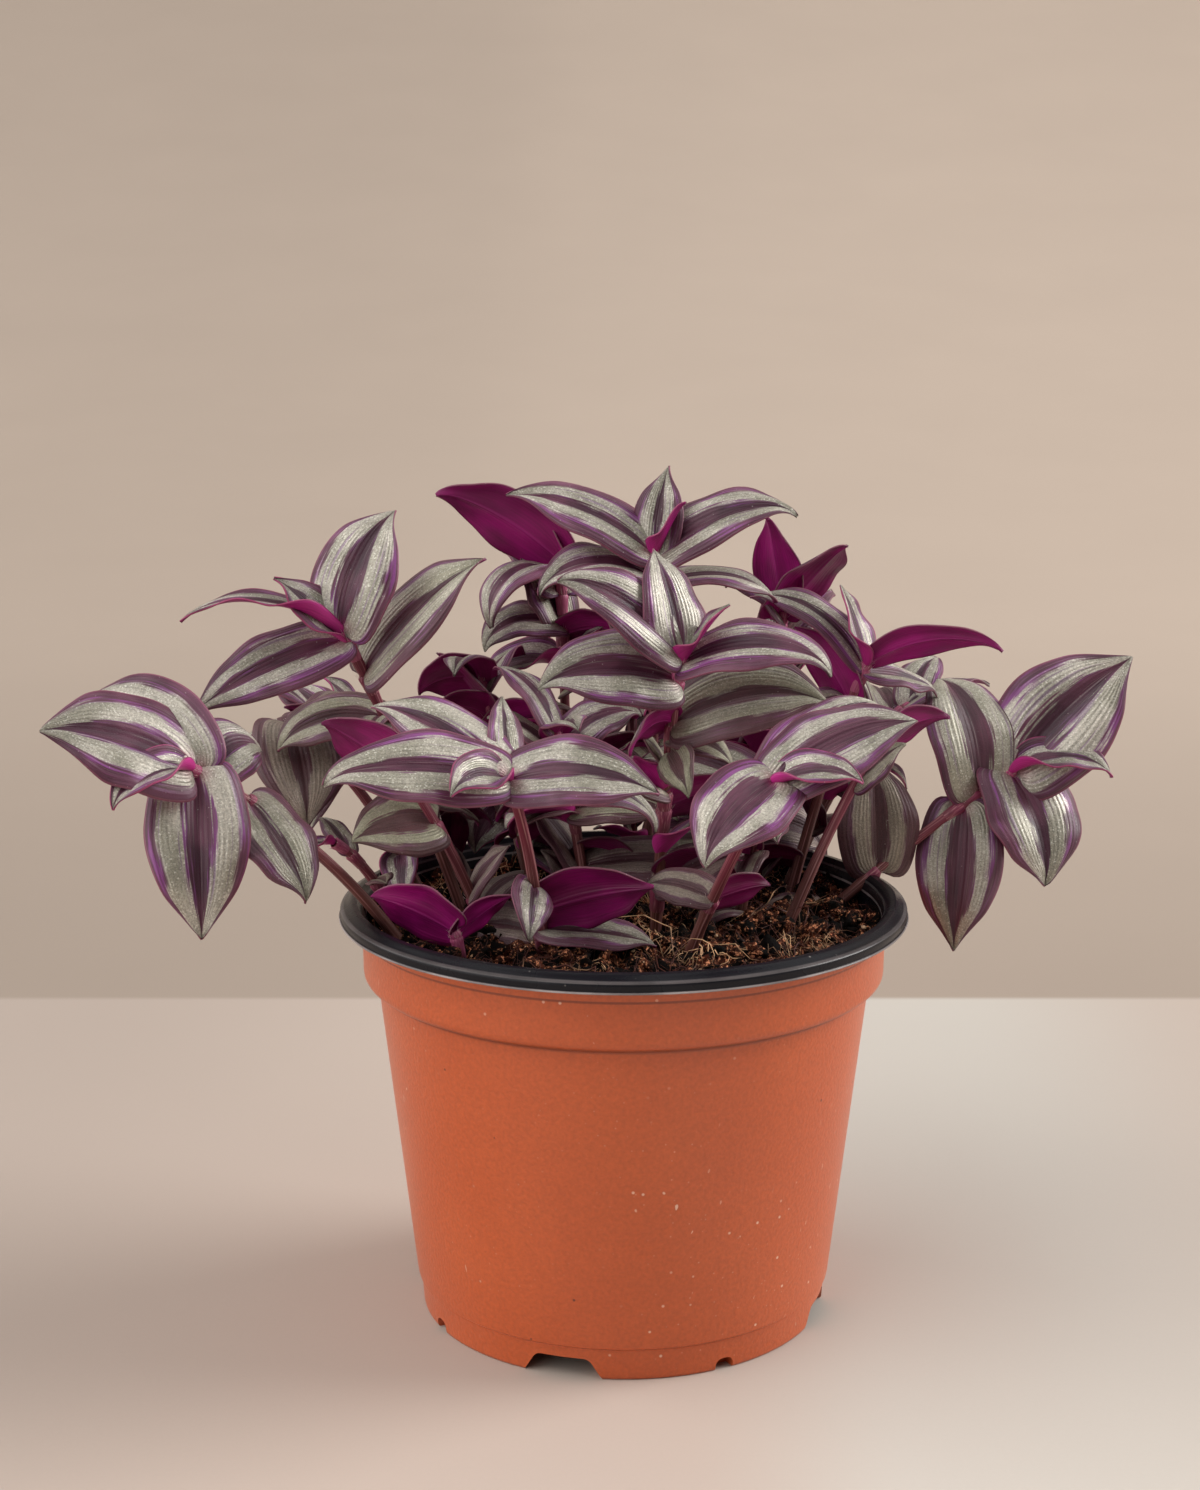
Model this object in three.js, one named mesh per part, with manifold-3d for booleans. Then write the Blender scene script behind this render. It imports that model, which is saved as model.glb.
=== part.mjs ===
// A striped wandering plant in a round nursery pot: thin moulded pot, potting mix and trailing leafy stems.
// Millimetres, +Z up. The origin is the middle of the pot's foot, on the surface that it stands on.
import * as THREE from 'three';
import { mergeVertices } from 'three/addons/utils/BufferGeometryUtils.js';
import Module from 'manifold-3d';

const wasm = await Module();
wasm.setup();

// Pot: a thermoformed sheet, wider at the top, with a shoulder step, an upper band and a rolled rim.
const POT_HEIGHT = 112;
const RIM_RADIUS = 75;
const BAND_RADIUS = 69.2;
const SHOULDER_RADIUS = 64.9;
const SHOULDER_HEIGHT = 88;
const FOOT_RADIUS = 54.5;
const FOOT_HEIGHT = 8;
const WALL = 1.4;
const POT_SIDES = 48;

// Drainage: four wide channels that cross under the floor, four small rounded notches in the foot ring,
// and a drain hole in each channel. BELOW and PAST let the cutting bodies run past the pot.
const CHANNEL_BOTTOM_HALF = 12.2;
const CHANNEL_TOP_HALF = 7;
const CHANNEL_HEIGHT = 5.5;
const CHANNEL_TURN = -17;
const NOTCH_HALF = 2.6;
const NOTCH_HEIGHT = 3.2;
const NOTCH_DEPTH = 4;
const DRAIN_RADIUS = 4;
const DRAIN_PLACE = 36;
const BELOW = -3;
const PAST = 5;

// Potting mix: a loose fill, a little below the rim.
const SOIL_TOP = 106;
const SOIL_BUMP = 1.6;
const SOIL_GAP = 0.3;
const HOLE_GAP = 0.6;
const SOIL_SIDES = 30;

// Stems and leaves.
const STEM_RADIUS = 1.8;
const STEM_STEPS = 5;
const STEM_SIDES = 6;
const ROOT_DEPTH = 12;
const ROOT_HEIGHT = SOIL_TOP - ROOT_DEPTH;
const BLADE = 0.8;
const NECK_HALF = 1.3;
const TIP_HALF = 0.4;
const FOLD = 0.35;
const BELLY = 0.25;
const CURL = 1.3;
const OUTLINE_RISE = 0.5;
const OUTLINE_FALL = 0.85;
const LEAF_STEPS = 24;
const LEAF_STATIONS = [0, 2, 7, 15, 24];
const SMALL_STATIONS = [0, 5, 14, 24];
const SMALL_LEAF = 36;
const TRIM = 0.08;

// Each leafy stem runs from its root (x, y in the mix) past a middle point to its tip, in millimetres.
// A leaf: place along the stem (0 to 1), heading and rise in degrees, length, width, droop towards its tip
// in degrees, roll about its own midrib, and, for a young leaf, how far its halves are folded up.
const SHOOTS = {
  shoot_far_left: {
    root: [-52, -14],
    middle: [-74, -26, 134],
    tip: [-104, -55, 158],
    leaves: [
      [1, 200, 31, 37, 29, 28, -42],
      [0.97, 160, 58, 40, 25, 60, 0],
      [0.98, 281, -54, 41, 25, 40, 0],
      [0.99, 222, 34, 27, 13, 95, 0, 0.8],
      [0.95, 50, 52, 22, 20, 105, 30],
      [0.8, 322, -34, 31, 24, 30, 0],
    ],
  },
  shoot_left: {
    root: [-40, 10],
    middle: [-56, 4, 148],
    tip: [-72, -10, 184],
    leaves: [
      [1, 36, 78, 35, 25, 40, 28],
      [0.84, 350, 54, 45, 24, 24, 44],
      [0.97, 203, -14, 43, 19, 18, -45],
      [0.98, 190, 38, 44, 8, 72, 66, 0.6],
      [0.96, 155, 52, 24, 12, 15, -30, 0.6],
      [0.68, 190, 14, 31, 21, 65, -25],
    ],
  },
  shoot_top: {
    root: [5, 25],
    middle: [10, 28, 150],
    tip: [8, 20, 200],
    leaves: [
      [1, 177, 38, 43, 20, 38, -35],
      [0.98, 0, 44, 43, 20, 58, 35],
      [0.97, 60, 80, 27, 15, 15, 5],
      [0.93, 204, 29, 37, 19, 75, -25],
      [0.91, 9, 18, 36, 18, 60, 10],
      [0.98, 338, 66, 19, 8, 10, -70, 0.8],
    ],
  },
  shoot_centre: {
    root: [8, -4],
    middle: [10, -18, 150],
    tip: [14, -25, 180],
    leaves: [
      [1, 190, 50, 38, 20, 38, -45],
      [0.98, 120, 76, 30, 19, 30, 5],
      [0.96, 345, 28, 42, 20, 65, 30],
      [0.94, 20, 50, 23, 11, 20, 40, 0.7],
      [0.9, 199, 20, 38, 23, 45, -50],
      [0.73, 354, 30, 42, 25, 50, 45],
      [0.5, 200, 35, 27, 15, 70, -30],
      [0.22, 352, 30, 24, 17, 20, 35],
      [0.45, 20, 25, 22, 13, 40, -60],
    ],
  },
  shoot_front_left: {
    root: [-20, -20],
    middle: [-23, -40, 138],
    tip: [-28, -66, 158],
    leaves: [
      [1, 190, 14, 44, 22, 28, -40],
      [0.98, 350, 16, 37, 22, 45, 38],
      [0.93, 10, 10, 41, 20, 65, 20],
      [0.96, 160, 42, 40, 20, 40, -25],
      [0.94, 235, 33, 24, 11, 50, 0, 0.8],
      [0.95, 97, 53, 26, 10, 20, 20],
      [0.27, 347, 20, 31, 19, 12, -65],
      [0.2, 352, 0, 30, 15, 12, 20],
    ],
  },
  shoot_front_right: {
    root: [14, -22],
    middle: [22, -40, 126],
    tip: [35, -64, 157],
    leaves: [
      [1, 222, -2, 32, 24, 40, 15],
      [0.98, 13, 36, 39, 22, 35, 38],
      [0.94, 38, 48, 42, 20, 50, 15],
      [0.97, 318, 36, 22, 13, 50, 15, 0.8],
      [0.45, 110, 40, 22, 14, 60, 0],
      [0.43, 30, 14, 20, 15, 20, -65],
    ],
  },
  shoot_far_right: {
    root: [47, 16],
    middle: [74, 22, 130],
    tip: [108.6, 35, 138],
    leaves: [
      [1, 15, 50, 43, 27, 15, 45],
      [0.85, 112, 90, 38, 27, 55, 0],
      [0.98, 298, -44, 34, 31, 45, 0],
      [0.98, 333, 28, 28, 14, 65, 15, 0.8],
      [0.78, 254, -56, 41, 24, 30, 0],
      [0.4, 104, 88, 31, 23, 25, -5],
      [0.27, 200, 14, 18, 12, 10, -20, 0.7],
    ],
  },
  shoot_right: {
    root: [44, 28],
    middle: [54, 26, 140],
    tip: [66, 25, 170],
    leaves: [
      [1, 340, 32, 39, 11, 55, -55],
      [0.98, 160, 76, 23, 13, 10, -10, 0.6],
      [0.97, 162, 60, 40, 13, 72, 25],
      [0.95, 30, -6, 28, 16, 25, 20],
      [0.82, 160, 62, 26, 14, 20, 75],
    ],
  },
  shoot_back_left: {
    root: [-14, 40],
    middle: [-16, 44, 150],
    tip: [-17, 45, 195],
    leaves: [
      [1, 187, 43, 40, 20, 30, 60],
      [0.96, 220, 22, 34, 20, 120, 0],
      [0.9, 120, 40, 36, 20, 60, 0],
      [0.98, 150, 60, 22, 12, 20, 60],
      [0.8, 200, 25, 27, 15, 90, -30],
      [0.78, 335, 20, 24, 14, 50, -50],
    ],
  },
  shoot_back_right: {
    root: [34, 42],
    middle: [40, 48, 145],
    tip: [45, 50, 180],
    leaves: [
      [1, 318, 60, 24, 23, 10, -5],
      [0.98, 230, 78, 30, 17, 5, 0],
      [0.96, 195, 55, 21, 14, 50, -20],
      [0.9, 60, 40, 36, 20, 60, 0],
      [0.82, 110, 25, 34, 20, 60, 10],
    ],
  },
  shoot_low_left: {
    root: [-33, -8],
    middle: [-42, -12, 126],
    tip: [-56, -17, 148],
    leaves: [
      [1, 182, 40, 25, 18, 12, 62],
      [0.72, 206, 5, 23, 22, 25, -38],
      [0.98, 60, 40, 26, 15, 60, 0],
      [0.34, 330, 58, 19, 14, 15, 40],
    ],
  },
  shoot_hanging_left: {
    root: [-50, 20],
    middle: [-66, 13, 140],
    tip: [-88, 4, 157],
    leaves: [
      [1, 290, -38, 30, 24, 35, 0],
      [0.9, 92, 20, 30, 18, 60, 0],
      [0.85, 75, 45, 28, 16, 60, 0],
    ],
  },
  shoot_small_left: {
    root: [-55, 1],
    middle: [-66, -3, 122],
    tip: [-75, -12, 129],
    leaves: [
      [1, 225, 10, 13, 7, 30, 0, 0.7],
      [0.8, 130, 45, 16, 8, 40, 0],
      [0.5, 290, 20, 13, 7, 20, 20],
    ],
  },
  shoot_low_front: {
    root: [-40, -30],
    middle: [-41, -31, 104],
    tip: [-43, -31, 111],
    leaves: [
      [1, 172, 30, 23, 18, 20, 62],
      [0.9, 15, 42, 18, 9, 20, -60],
    ],
  },
  shoot_inner_left: {
    root: [-22, 22],
    middle: [-30, 24, 138],
    tip: [-39, 24, 166],
    leaves: [
      [1, 190, 12, 18, 14, 60, 70],
      [0.98, 250, 60, 22, 13, 110, 10],
      [0.92, 60, 50, 24, 13, 70, -30],
      [0.82, 215, 35, 24, 14, 90, 45],
      [0.74, 325, 40, 25, 15, 60, -45],
      [0.5, 200, 30, 24, 14, 60, -20],
      [0.45, 20, 25, 26, 15, 50, 35],
    ],
  },
  shoot_inner_middle: {
    root: [-8, 4],
    middle: [-12, 2, 132],
    tip: [-18, 0, 156],
    leaves: [
      [1, 150, 65, 26, 14, 60, 0],
      [0.98, 290, 40, 20, 12, 60, 10],
      [0.9, 20, 45, 26, 15, 60, 30],
      [0.6, 345, 20, 30, 16, 50, 35],
      [0.35, 190, 30, 26, 16, 50, -40],
    ],
  },
  shoot_inner_right: {
    root: [30, 4],
    middle: [33, 2, 126],
    tip: [40, 0, 142],
    leaves: [
      [1, 15, 45, 22, 13, 90, -20],
      [0.9, 172, 32, 36, 19, 40, -35],
      [0.7, 280, 10, 18, 10, 30, 0],
      [0.5, 170, 30, 24, 15, 50, 70],
    ],
  },
  shoot_hanging_right: {
    root: [40, -1],
    middle: [54, 4, 130],
    tip: [66, 4, 150],
    leaves: [
      [1, 20, 40, 24, 14, 50, -55],
      [0.95, 150, 45, 26, 14, 60, 0],
      [1, 80, -60, 11, 8, 10, 0],
    ],
  },
};

// The stems on the far side: leaves alternate on two sides of the stem, larger and lower further down it.
const FAR_SHOOTS = {
  shoot_rear_far_left: {
    root: [-38, 30], middle: [-58, 42, 140], tip: [-86, 48, 150],
    heading: 165, count: 5,
  },
  shoot_rear_left: {
    root: [-24, 44], middle: [-34, 58, 134], tip: [-40, 64, 138],
    heading: 90, count: 5,
  },
  shoot_rear_middle: {
    root: [3, 46], middle: [3, 52, 144], tip: [3, 62, 168],
    heading: 90, count: 4,
  },
  shoot_rear_right: {
    root: [20, 46], middle: [30, 56, 138], tip: [38, 64, 140],
    heading: 80, count: 5,
  },
  shoot_rear_far_right: {
    root: [42, 33], middle: [62, 46, 146], tip: [82, 56, 152],
    heading: 45, count: 4,
  },
};

/** The leaves of a stem on the far side, placed by the rule of the plant. */
function alternateLeaves({ heading, count }) {
  return Array.from({ length: count }, (_, order) => {
    const side = order % 2 ? -1 : 1;
    const length = Math.min(24 + 4 * order, 40);
    return [
      1 - 0.06 * order,
      heading + side * (16 + 17 * order),
      50 - 13 * order,
      length,
      0.56 * length,
      50 + 3 * order,
      side * 5 * order,
    ];
  });
}

/** Turns a closed three.js geometry into a solid for joining and cutting. */
function solidOf(geometry) {
  const bare = geometry.clone();
  bare.deleteAttribute('normal');
  bare.deleteAttribute('uv');
  const merged = mergeVertices(bare, 1e-4);
  return new wasm.Manifold(new wasm.Mesh({
    numProp: 3,
    vertProperties: new Float32Array(merged.attributes.position.array),
    triVerts: new Uint32Array(merged.index.array),
  }));
}

/** Turns a solid back into a geometry with flat facets. */
function geometryOf(solid) {
  const mesh = solid.getMesh();
  const geometry = new THREE.BufferGeometry();
  geometry.setAttribute('position', new THREE.BufferAttribute(new Float32Array(mesh.vertProperties), 3));
  geometry.setIndex(new THREE.BufferAttribute(new Uint32Array(mesh.triVerts), 1));
  geometry.computeVertexNormals();
  return geometry;
}

/** Keeps the main body of a joined solid: loose scraps are dropped and sealed hollows are filled. */
function oneBody(solid) {
  const bodies = solid.decompose().filter((body) => body.volume() > 0);
  const main = bodies.reduce((largest, body) => (body.volume() > largest.volume() ? body : largest));
  return main.simplify(TRIM);
}

/** A body turned about the Z axis from a profile of [radius, height] points that starts and ends on it. */
function turned(profile, sides) {
  const points = profile.map(([radius, height]) => new THREE.Vector2(radius, height));
  return new THREE.LatheGeometry(points, sides).rotateX(Math.PI / 2);
}

/** A straight bar along X with the given outline across it, starting at x = start. */
function bar(outline, start, length) {
  const shape = new THREE.Shape(outline.map(([y, z]) => new THREE.Vector2(y, z)));
  const geometry = new THREE.ExtrudeGeometry(shape, { depth: length, bevelEnabled: false });
  const frame = new THREE.Matrix4().makeBasis(
    new THREE.Vector3(0, 1, 0),
    new THREE.Vector3(0, 0, 1),
    new THREE.Vector3(1, 0, 0),
  );
  return geometry.applyMatrix4(frame).translate(start, 0, 0);
}

/** Joins copies of one cutting body, turned about the pot's axis by each angle from the first channel. */
function roundTheFoot(turns, make) {
  return wasm.Manifold.union(
    turns.map((turn) => solidOf(make().rotateZ(THREE.MathUtils.degToRad(CHANNEL_TURN + turn)))),
  );
}

/** The four channels under the floor, or, with a margin, the sheet that wraps round them. */
function channels(margin) {
  const low = CHANNEL_BOTTOM_HALF + margin;
  const high = CHANNEL_TOP_HALF + margin;
  const ceiling = CHANNEL_HEIGHT + margin;
  const outline = [[-low, BELOW], [low, BELOW], [high, ceiling], [-high, ceiling]];
  const reach = FOOT_RADIUS + PAST;
  return roundTheFoot([0, 90], () => bar(outline, -reach, 2 * reach));
}

/** The four small rounded notches in the foot ring, or, with a margin, the sheet that wraps round them. */
function notches(margin) {
  const half = NOTCH_HALF + margin;
  const high = NOTCH_HEIGHT + margin;
  const shoulder = high * 0.6;
  const crown = half * 0.5;
  const outline = [
    [-half, BELOW], [half, BELOW], [half, shoulder],
    [crown, high], [-crown, high], [-half, shoulder],
  ];
  const depth = NOTCH_DEPTH + margin;
  return roundTheFoot([45, 135, 225, 315], () => bar(outline, FOOT_RADIUS - depth, depth + PAST));
}

/** The inside of the pot: the outer form less the sheet's thickness. */
function cavity() {
  const inner = (radius) => radius - WALL;
  const space = solidOf(turned([
    [0, WALL],
    [inner(FOOT_RADIUS - 0.5), WALL],
    [inner(FOOT_RADIUS), FOOT_HEIGHT],
    [inner(FOOT_RADIUS + 1), FOOT_HEIGHT + 2],
    [inner(SHOULDER_RADIUS), SHOULDER_HEIGHT],
    [inner(BAND_RADIUS - 0.8), SHOULDER_HEIGHT + 5.5],
    [inner(BAND_RADIUS), POT_HEIGHT - 5],
    [inner(BAND_RADIUS + 1), POT_HEIGHT - 0.5],
    [inner(BAND_RADIUS + 1.6), POT_HEIGHT + 1],
    [0, POT_HEIGHT + 1],
  ], POT_SIDES));
  return space.subtract(channels(WALL)).subtract(notches(WALL));
}

/** The pot: outer form less channels, notches, the inside and the drain holes. */
function potSolid() {
  const profile = [
    [0, 0],
    [FOOT_RADIUS - 0.7, 0],
    [FOOT_RADIUS - 0.4, 0.6],
    [FOOT_RADIUS, FOOT_HEIGHT],
    [FOOT_RADIUS + 1, FOOT_HEIGHT + 0.8],
    [FOOT_RADIUS + 1.2, FOOT_HEIGHT + 2],
    [SHOULDER_RADIUS, SHOULDER_HEIGHT],
    [SHOULDER_RADIUS + 1.7, SHOULDER_HEIGHT + 2.2],
    [BAND_RADIUS - 1, SHOULDER_HEIGHT + 4.4],
    [BAND_RADIUS - 0.6, SHOULDER_HEIGHT + 5.6],
    [BAND_RADIUS, POT_HEIGHT - 4.6],
    [RIM_RADIUS - 1.4, POT_HEIGHT - 4.4],
    [RIM_RADIUS - 0.3, POT_HEIGHT - 3.8],
    [RIM_RADIUS, POT_HEIGHT - 2.8],
    [RIM_RADIUS - 0.3, POT_HEIGHT - 1.4],
    [RIM_RADIUS - 1.4, POT_HEIGHT - 0.4],
    [RIM_RADIUS - 3, POT_HEIGHT],
    [0, POT_HEIGHT],
  ];
  const drains = roundTheFoot([0, 90, 180, 270], () => {
    const drain = new THREE.CylinderGeometry(DRAIN_RADIUS, DRAIN_RADIUS, 4 * CHANNEL_HEIGHT, 12);
    return drain.rotateX(Math.PI / 2).translate(DRAIN_PLACE, 0, 0);
  });
  const outside = solidOf(turned(profile, POT_SIDES)).subtract(channels(0)).subtract(notches(0));
  return oneBody(outside.subtract(cavity()).subtract(drains));
}

/** The middle line of a stem, from its buried root to its tip. */
function stemCurve(shoot, extraDepth) {
  const [x, y] = shoot.root;
  const root = new THREE.Vector3(x, y, ROOT_HEIGHT - extraDepth);
  const middle = new THREE.Vector3(...shoot.middle);
  return new THREE.QuadraticBezierCurve3(root, middle, new THREE.Vector3(...shoot.tip));
}

/** A round stem of a given radius along its middle line. */
function stemGeometry(curve, radius) {
  const corners = Array.from({ length: STEM_SIDES }, (_, side) => {
    const turn = (side * 2 * Math.PI) / STEM_SIDES;
    return new THREE.Vector2(radius * Math.cos(turn), radius * Math.sin(turn));
  });
  return new THREE.ExtrudeGeometry(new THREE.Shape(corners), {
    steps: STEM_STEPS,
    extrudePath: curve,
    bevelEnabled: false,
  });
}

/** Half the width of a leaf, as a share of its widest, at u from base to tip: broad low down, long tip. */
function outlineAt(u) {
  const peak = OUTLINE_RISE / (OUTLINE_RISE + OUTLINE_FALL);
  const raw = (place) => place ** OUTLINE_RISE * (1 - place) ** OUTLINE_FALL;
  return raw(u) / raw(peak);
}

/** The direction of a leaf's midrib at u. */
function midribDirection(heading, rise, droop, u) {
  const azimuth = THREE.MathUtils.degToRad(heading);
  const elevation = THREE.MathUtils.degToRad(rise - droop * u ** CURL);
  const flat = Math.cos(elevation);
  return new THREE.Vector3(flat * Math.cos(azimuth), flat * Math.sin(azimuth), Math.sin(elevation));
}

/** One leaf blade: a thin arched body whose two halves fold up from the midrib. */
function leafGeometry(base, [, heading, rise, length, width, droop, roll, fold = FOLD]) {
  const stations = length < SMALL_LEAF ? SMALL_STATIONS : LEAF_STATIONS;
  const flatSide = THREE.MathUtils.degToRad(heading + 90);
  const across = new THREE.Vector3(Math.cos(flatSide), Math.sin(flatSide), 0);
  const turn = THREE.MathUtils.degToRad(roll);
  const positions = [];
  const point = base.clone();
  for (let step = 0; step <= LEAF_STEPS; step += 1) {
    const u = step / LEAF_STEPS;
    const along = midribDirection(heading, rise, droop, u);
    if (stations.includes(step)) {
      const up = new THREE.Vector3().crossVectors(along, across);
      const side = across.clone().multiplyScalar(Math.cos(turn)).addScaledVector(up, Math.sin(turn));
      const normal = up.clone().multiplyScalar(Math.cos(turn)).addScaledVector(across, -Math.sin(turn));
      const half = Math.max((width / 2) * outlineAt(u), u < 0.5 ? NECK_HALF : TIP_HALF);
      for (const face of [0.5, -0.5]) {
        for (const v of [-1, 0, 1]) {
          const lift = half * (fold - BELLY) * Math.abs(v) + face * BLADE;
          const corner = point.clone().addScaledVector(side, v * half).addScaledVector(normal, lift);
          positions.push(corner.x, corner.y, corner.z);
        }
      }
    }
    const ahead = midribDirection(heading, rise, droop, (step + 1) / LEAF_STEPS);
    point.addScaledVector(along.add(ahead), length / (2 * LEAF_STEPS));
  }
  return slab(positions, stations.length);
}

/** Closes rows of six points (three above, three below) into one body, split alike on both faces. */
function slab(positions, rows) {
  const index = [];
  const quad = (a, b, c, d) => index.push(a, b, c, a, c, d);
  for (let row = 0; row < rows - 1; row += 1) {
    const near = row * 6;
    const far = near + 6;
    for (const column of [0, 1]) {
      quad(near + column, far + column, far + column + 1, near + column + 1);
      index.push(near + column + 3, far + column + 4, far + column + 3);
      index.push(near + column + 3, near + column + 4, far + column + 4);
    }
    quad(near + 3, far + 3, far, near);
    quad(near + 2, far + 2, far + 5, near + 5);
  }
  const last = (rows - 1) * 6;
  for (const column of [0, 1]) {
    quad(column + 3, column, column + 1, column + 4);
    quad(last + column, last + column + 3, last + column + 4, last + column + 1);
  }
  const geometry = new THREE.BufferGeometry();
  geometry.setAttribute('position', new THREE.Float32BufferAttribute(positions, 3));
  geometry.setIndex(index);
  return geometry;
}

/** One leafy stem: the stem with its leaves, whose necks are sunk into it. */
function shootSolid(shoot, leaves) {
  const curve = stemCurve(shoot, 0);
  const pieces = [solidOf(stemGeometry(curve, STEM_RADIUS))];
  for (const leaf of leaves) {
    pieces.push(solidOf(leafGeometry(curve.getPoint(leaf[0]), leaf)));
  }
  return oneBody(wasm.Manifold.union(pieces));
}

/** The height of the mix above its mean level at a place. */
function soilBump(x, y) {
  const heaps = Math.sin(0.19 * x + 1.3) * Math.cos(0.23 * y);
  const clods = Math.sin(0.41 * x - 0.37 * y + 2);
  return SOIL_BUMP * (heaps + 0.5 * clods);
}

/** The potting mix: fills the pot, uneven on top, with a plain hole round every stem. */
function soilSolid(shoots) {
  const rings = [66, 50, 33, 16];
  const past = RIM_RADIUS + PAST;
  const level = [[past, SOIL_TOP], ...rings.map((radius) => [radius, SOIL_TOP]), [0, SOIL_TOP]];
  const block = turned([[0, -1], [past, -1], ...level], SOIL_SIDES);
  const places = block.attributes.position;
  for (let i = 0; i < places.count; i += 1) {
    if (places.getZ(i) > SOIL_TOP - 1) {
      places.setZ(i, SOIL_TOP + soilBump(places.getX(i), places.getY(i)));
    }
  }
  const gap = WALL + SOIL_GAP;
  const fill = solidOf(turned([
    [0, gap],
    [FOOT_RADIUS - 0.5 - gap, gap],
    [FOOT_RADIUS + 0.4 - gap, FOOT_HEIGHT + 2],
    [SHOULDER_RADIUS - gap, SHOULDER_HEIGHT],
    [BAND_RADIUS - 1 - gap, SHOULDER_HEIGHT + 5.5],
    [BAND_RADIUS - gap, POT_HEIGHT],
    [0, POT_HEIGHT],
  ], POT_SIDES));
  const mix = fill.intersect(solidOf(block)).subtract(channels(gap)).subtract(notches(gap));
  const holes = shoots.map((shoot) => {
    const curve = stemCurve(shoot, HOLE_GAP);
    return solidOf(stemGeometry(curve, STEM_RADIUS + HOLE_GAP));
  });
  return oneBody(mix.subtract(wasm.Manifold.union(holes)));
}

const group = new THREE.Group();

function addPart(name, solid, color, roughness) {
  const material = new THREE.MeshStandardMaterial({ color, roughness, metalness: 0 });
  const mesh = new THREE.Mesh(geometryOf(solid), material);
  mesh.name = name;
  group.add(mesh);
}

const TERRACOTTA = 0xbe5c3a;
const DARK_FIBRE = 0x4a3428;
const STRIPED_LEAF = 0x7d6f7c;

addPart('pot', potSolid(), TERRACOTTA, 0.5);
addPart('soil', soilSolid([...Object.values(SHOOTS), ...Object.values(FAR_SHOOTS)]), DARK_FIBRE, 0.95);
for (const [name, shoot] of Object.entries(SHOOTS)) {
  addPart(name, shootSolid(shoot, shoot.leaves), STRIPED_LEAF, 0.45);
}
for (const [name, shoot] of Object.entries(FAR_SHOOTS)) {
  addPart(name, shootSolid(shoot, alternateLeaves(shoot)), STRIPED_LEAF, 0.45);
}

export default group;
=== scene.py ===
"""Potted tradescantia: trailing stems of striped leaves in a thin nursery pot with a black rim.

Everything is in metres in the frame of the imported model: +Z up, the origin under the middle of the pot.
Sizes given in millimetres are turned into metres by MM.
"""
import math
import random

import bmesh
import bpy
from mathutils import Matrix, Vector, noise


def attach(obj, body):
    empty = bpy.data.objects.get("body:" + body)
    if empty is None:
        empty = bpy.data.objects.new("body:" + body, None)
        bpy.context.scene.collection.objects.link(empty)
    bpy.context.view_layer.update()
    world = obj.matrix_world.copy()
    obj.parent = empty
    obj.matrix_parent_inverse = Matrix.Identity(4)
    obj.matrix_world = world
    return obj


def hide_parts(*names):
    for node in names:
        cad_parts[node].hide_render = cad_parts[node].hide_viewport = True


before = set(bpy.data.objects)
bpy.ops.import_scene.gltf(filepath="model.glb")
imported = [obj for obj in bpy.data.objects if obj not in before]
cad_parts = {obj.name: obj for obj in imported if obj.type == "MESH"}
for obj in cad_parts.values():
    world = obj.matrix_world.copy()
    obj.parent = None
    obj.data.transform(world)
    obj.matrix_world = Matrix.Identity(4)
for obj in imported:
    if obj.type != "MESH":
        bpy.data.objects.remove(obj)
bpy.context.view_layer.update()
MM = 0.001

# Camera: it stands in front of the pot, a little above the leaves, and looks down on the soil.
# Its place, tilt and lens are what the pot's rim and foot show when the rim is taken as 150 mm across.
camera = bpy.data.objects.new("camera", bpy.data.cameras.new("camera"))
bpy.context.scene.collection.objects.link(camera)
camera.location = (-0.0062, -0.614, 0.279)
camera.rotation_euler = (math.radians(78.34), 0, 0)
camera.data.lens = 57.99
camera.data.sensor_width = 36
bpy.context.scene.camera = camera
bpy.context.scene.view_settings.view_transform = "Standard"


# Light: a soft light from the right, a wider one from the left, a faint one overhead, and a pale room.
# They stand for daylight among pale walls, so they are wide and a little warm.
DAYLIGHT = (1.0, 0.985, 0.97)


def soft_light(name, source, spread, strength):
    """Light from far away that comes from a wide part of the room, so that its shadows are soft."""
    light = bpy.data.objects.new(name, bpy.data.lights.new(name, "SUN"))
    bpy.context.scene.collection.objects.link(light)
    light.rotation_euler = Vector(source).to_track_quat("Z", "Y").to_euler()
    light.data.angle = math.radians(spread)
    light.data.energy = strength
    light.data.color = DAYLIGHT


soft_light("light_right", source=(1.0, 0.18, 0.5), spread=36, strength=3.2)
soft_light("light_left", source=(-1.0, -0.35, 0.45), spread=90, strength=3.3)
soft_light("light_overhead", source=(0.0, 0.25, 1.0), spread=120, strength=1.6)
world = bpy.data.worlds.new("room")
bpy.context.scene.world = world
world.use_nodes = True
world.node_tree.nodes["Background"].inputs["Color"].default_value = (0.86, 0.83, 0.80, 1)
world.node_tree.nodes["Background"].inputs["Strength"].default_value = 0.15


# Table: a pale painted board that runs back in one sheet and curves up far behind the plant. Past a line
# behind the pot its paint is darker and browner, so that it looks like a wall behind a table.
def colour(red, green, blue):
    """A colour given as it looks on a screen, 0 to 255, turned into the light that a shader works with."""
    def linear(level):
        share = level / 255
        return share / 12.92 if share <= 0.04045 else ((share + 0.055) / 1.055) ** 2.4
    return (linear(red), linear(green), linear(blue), 1.0)


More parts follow.
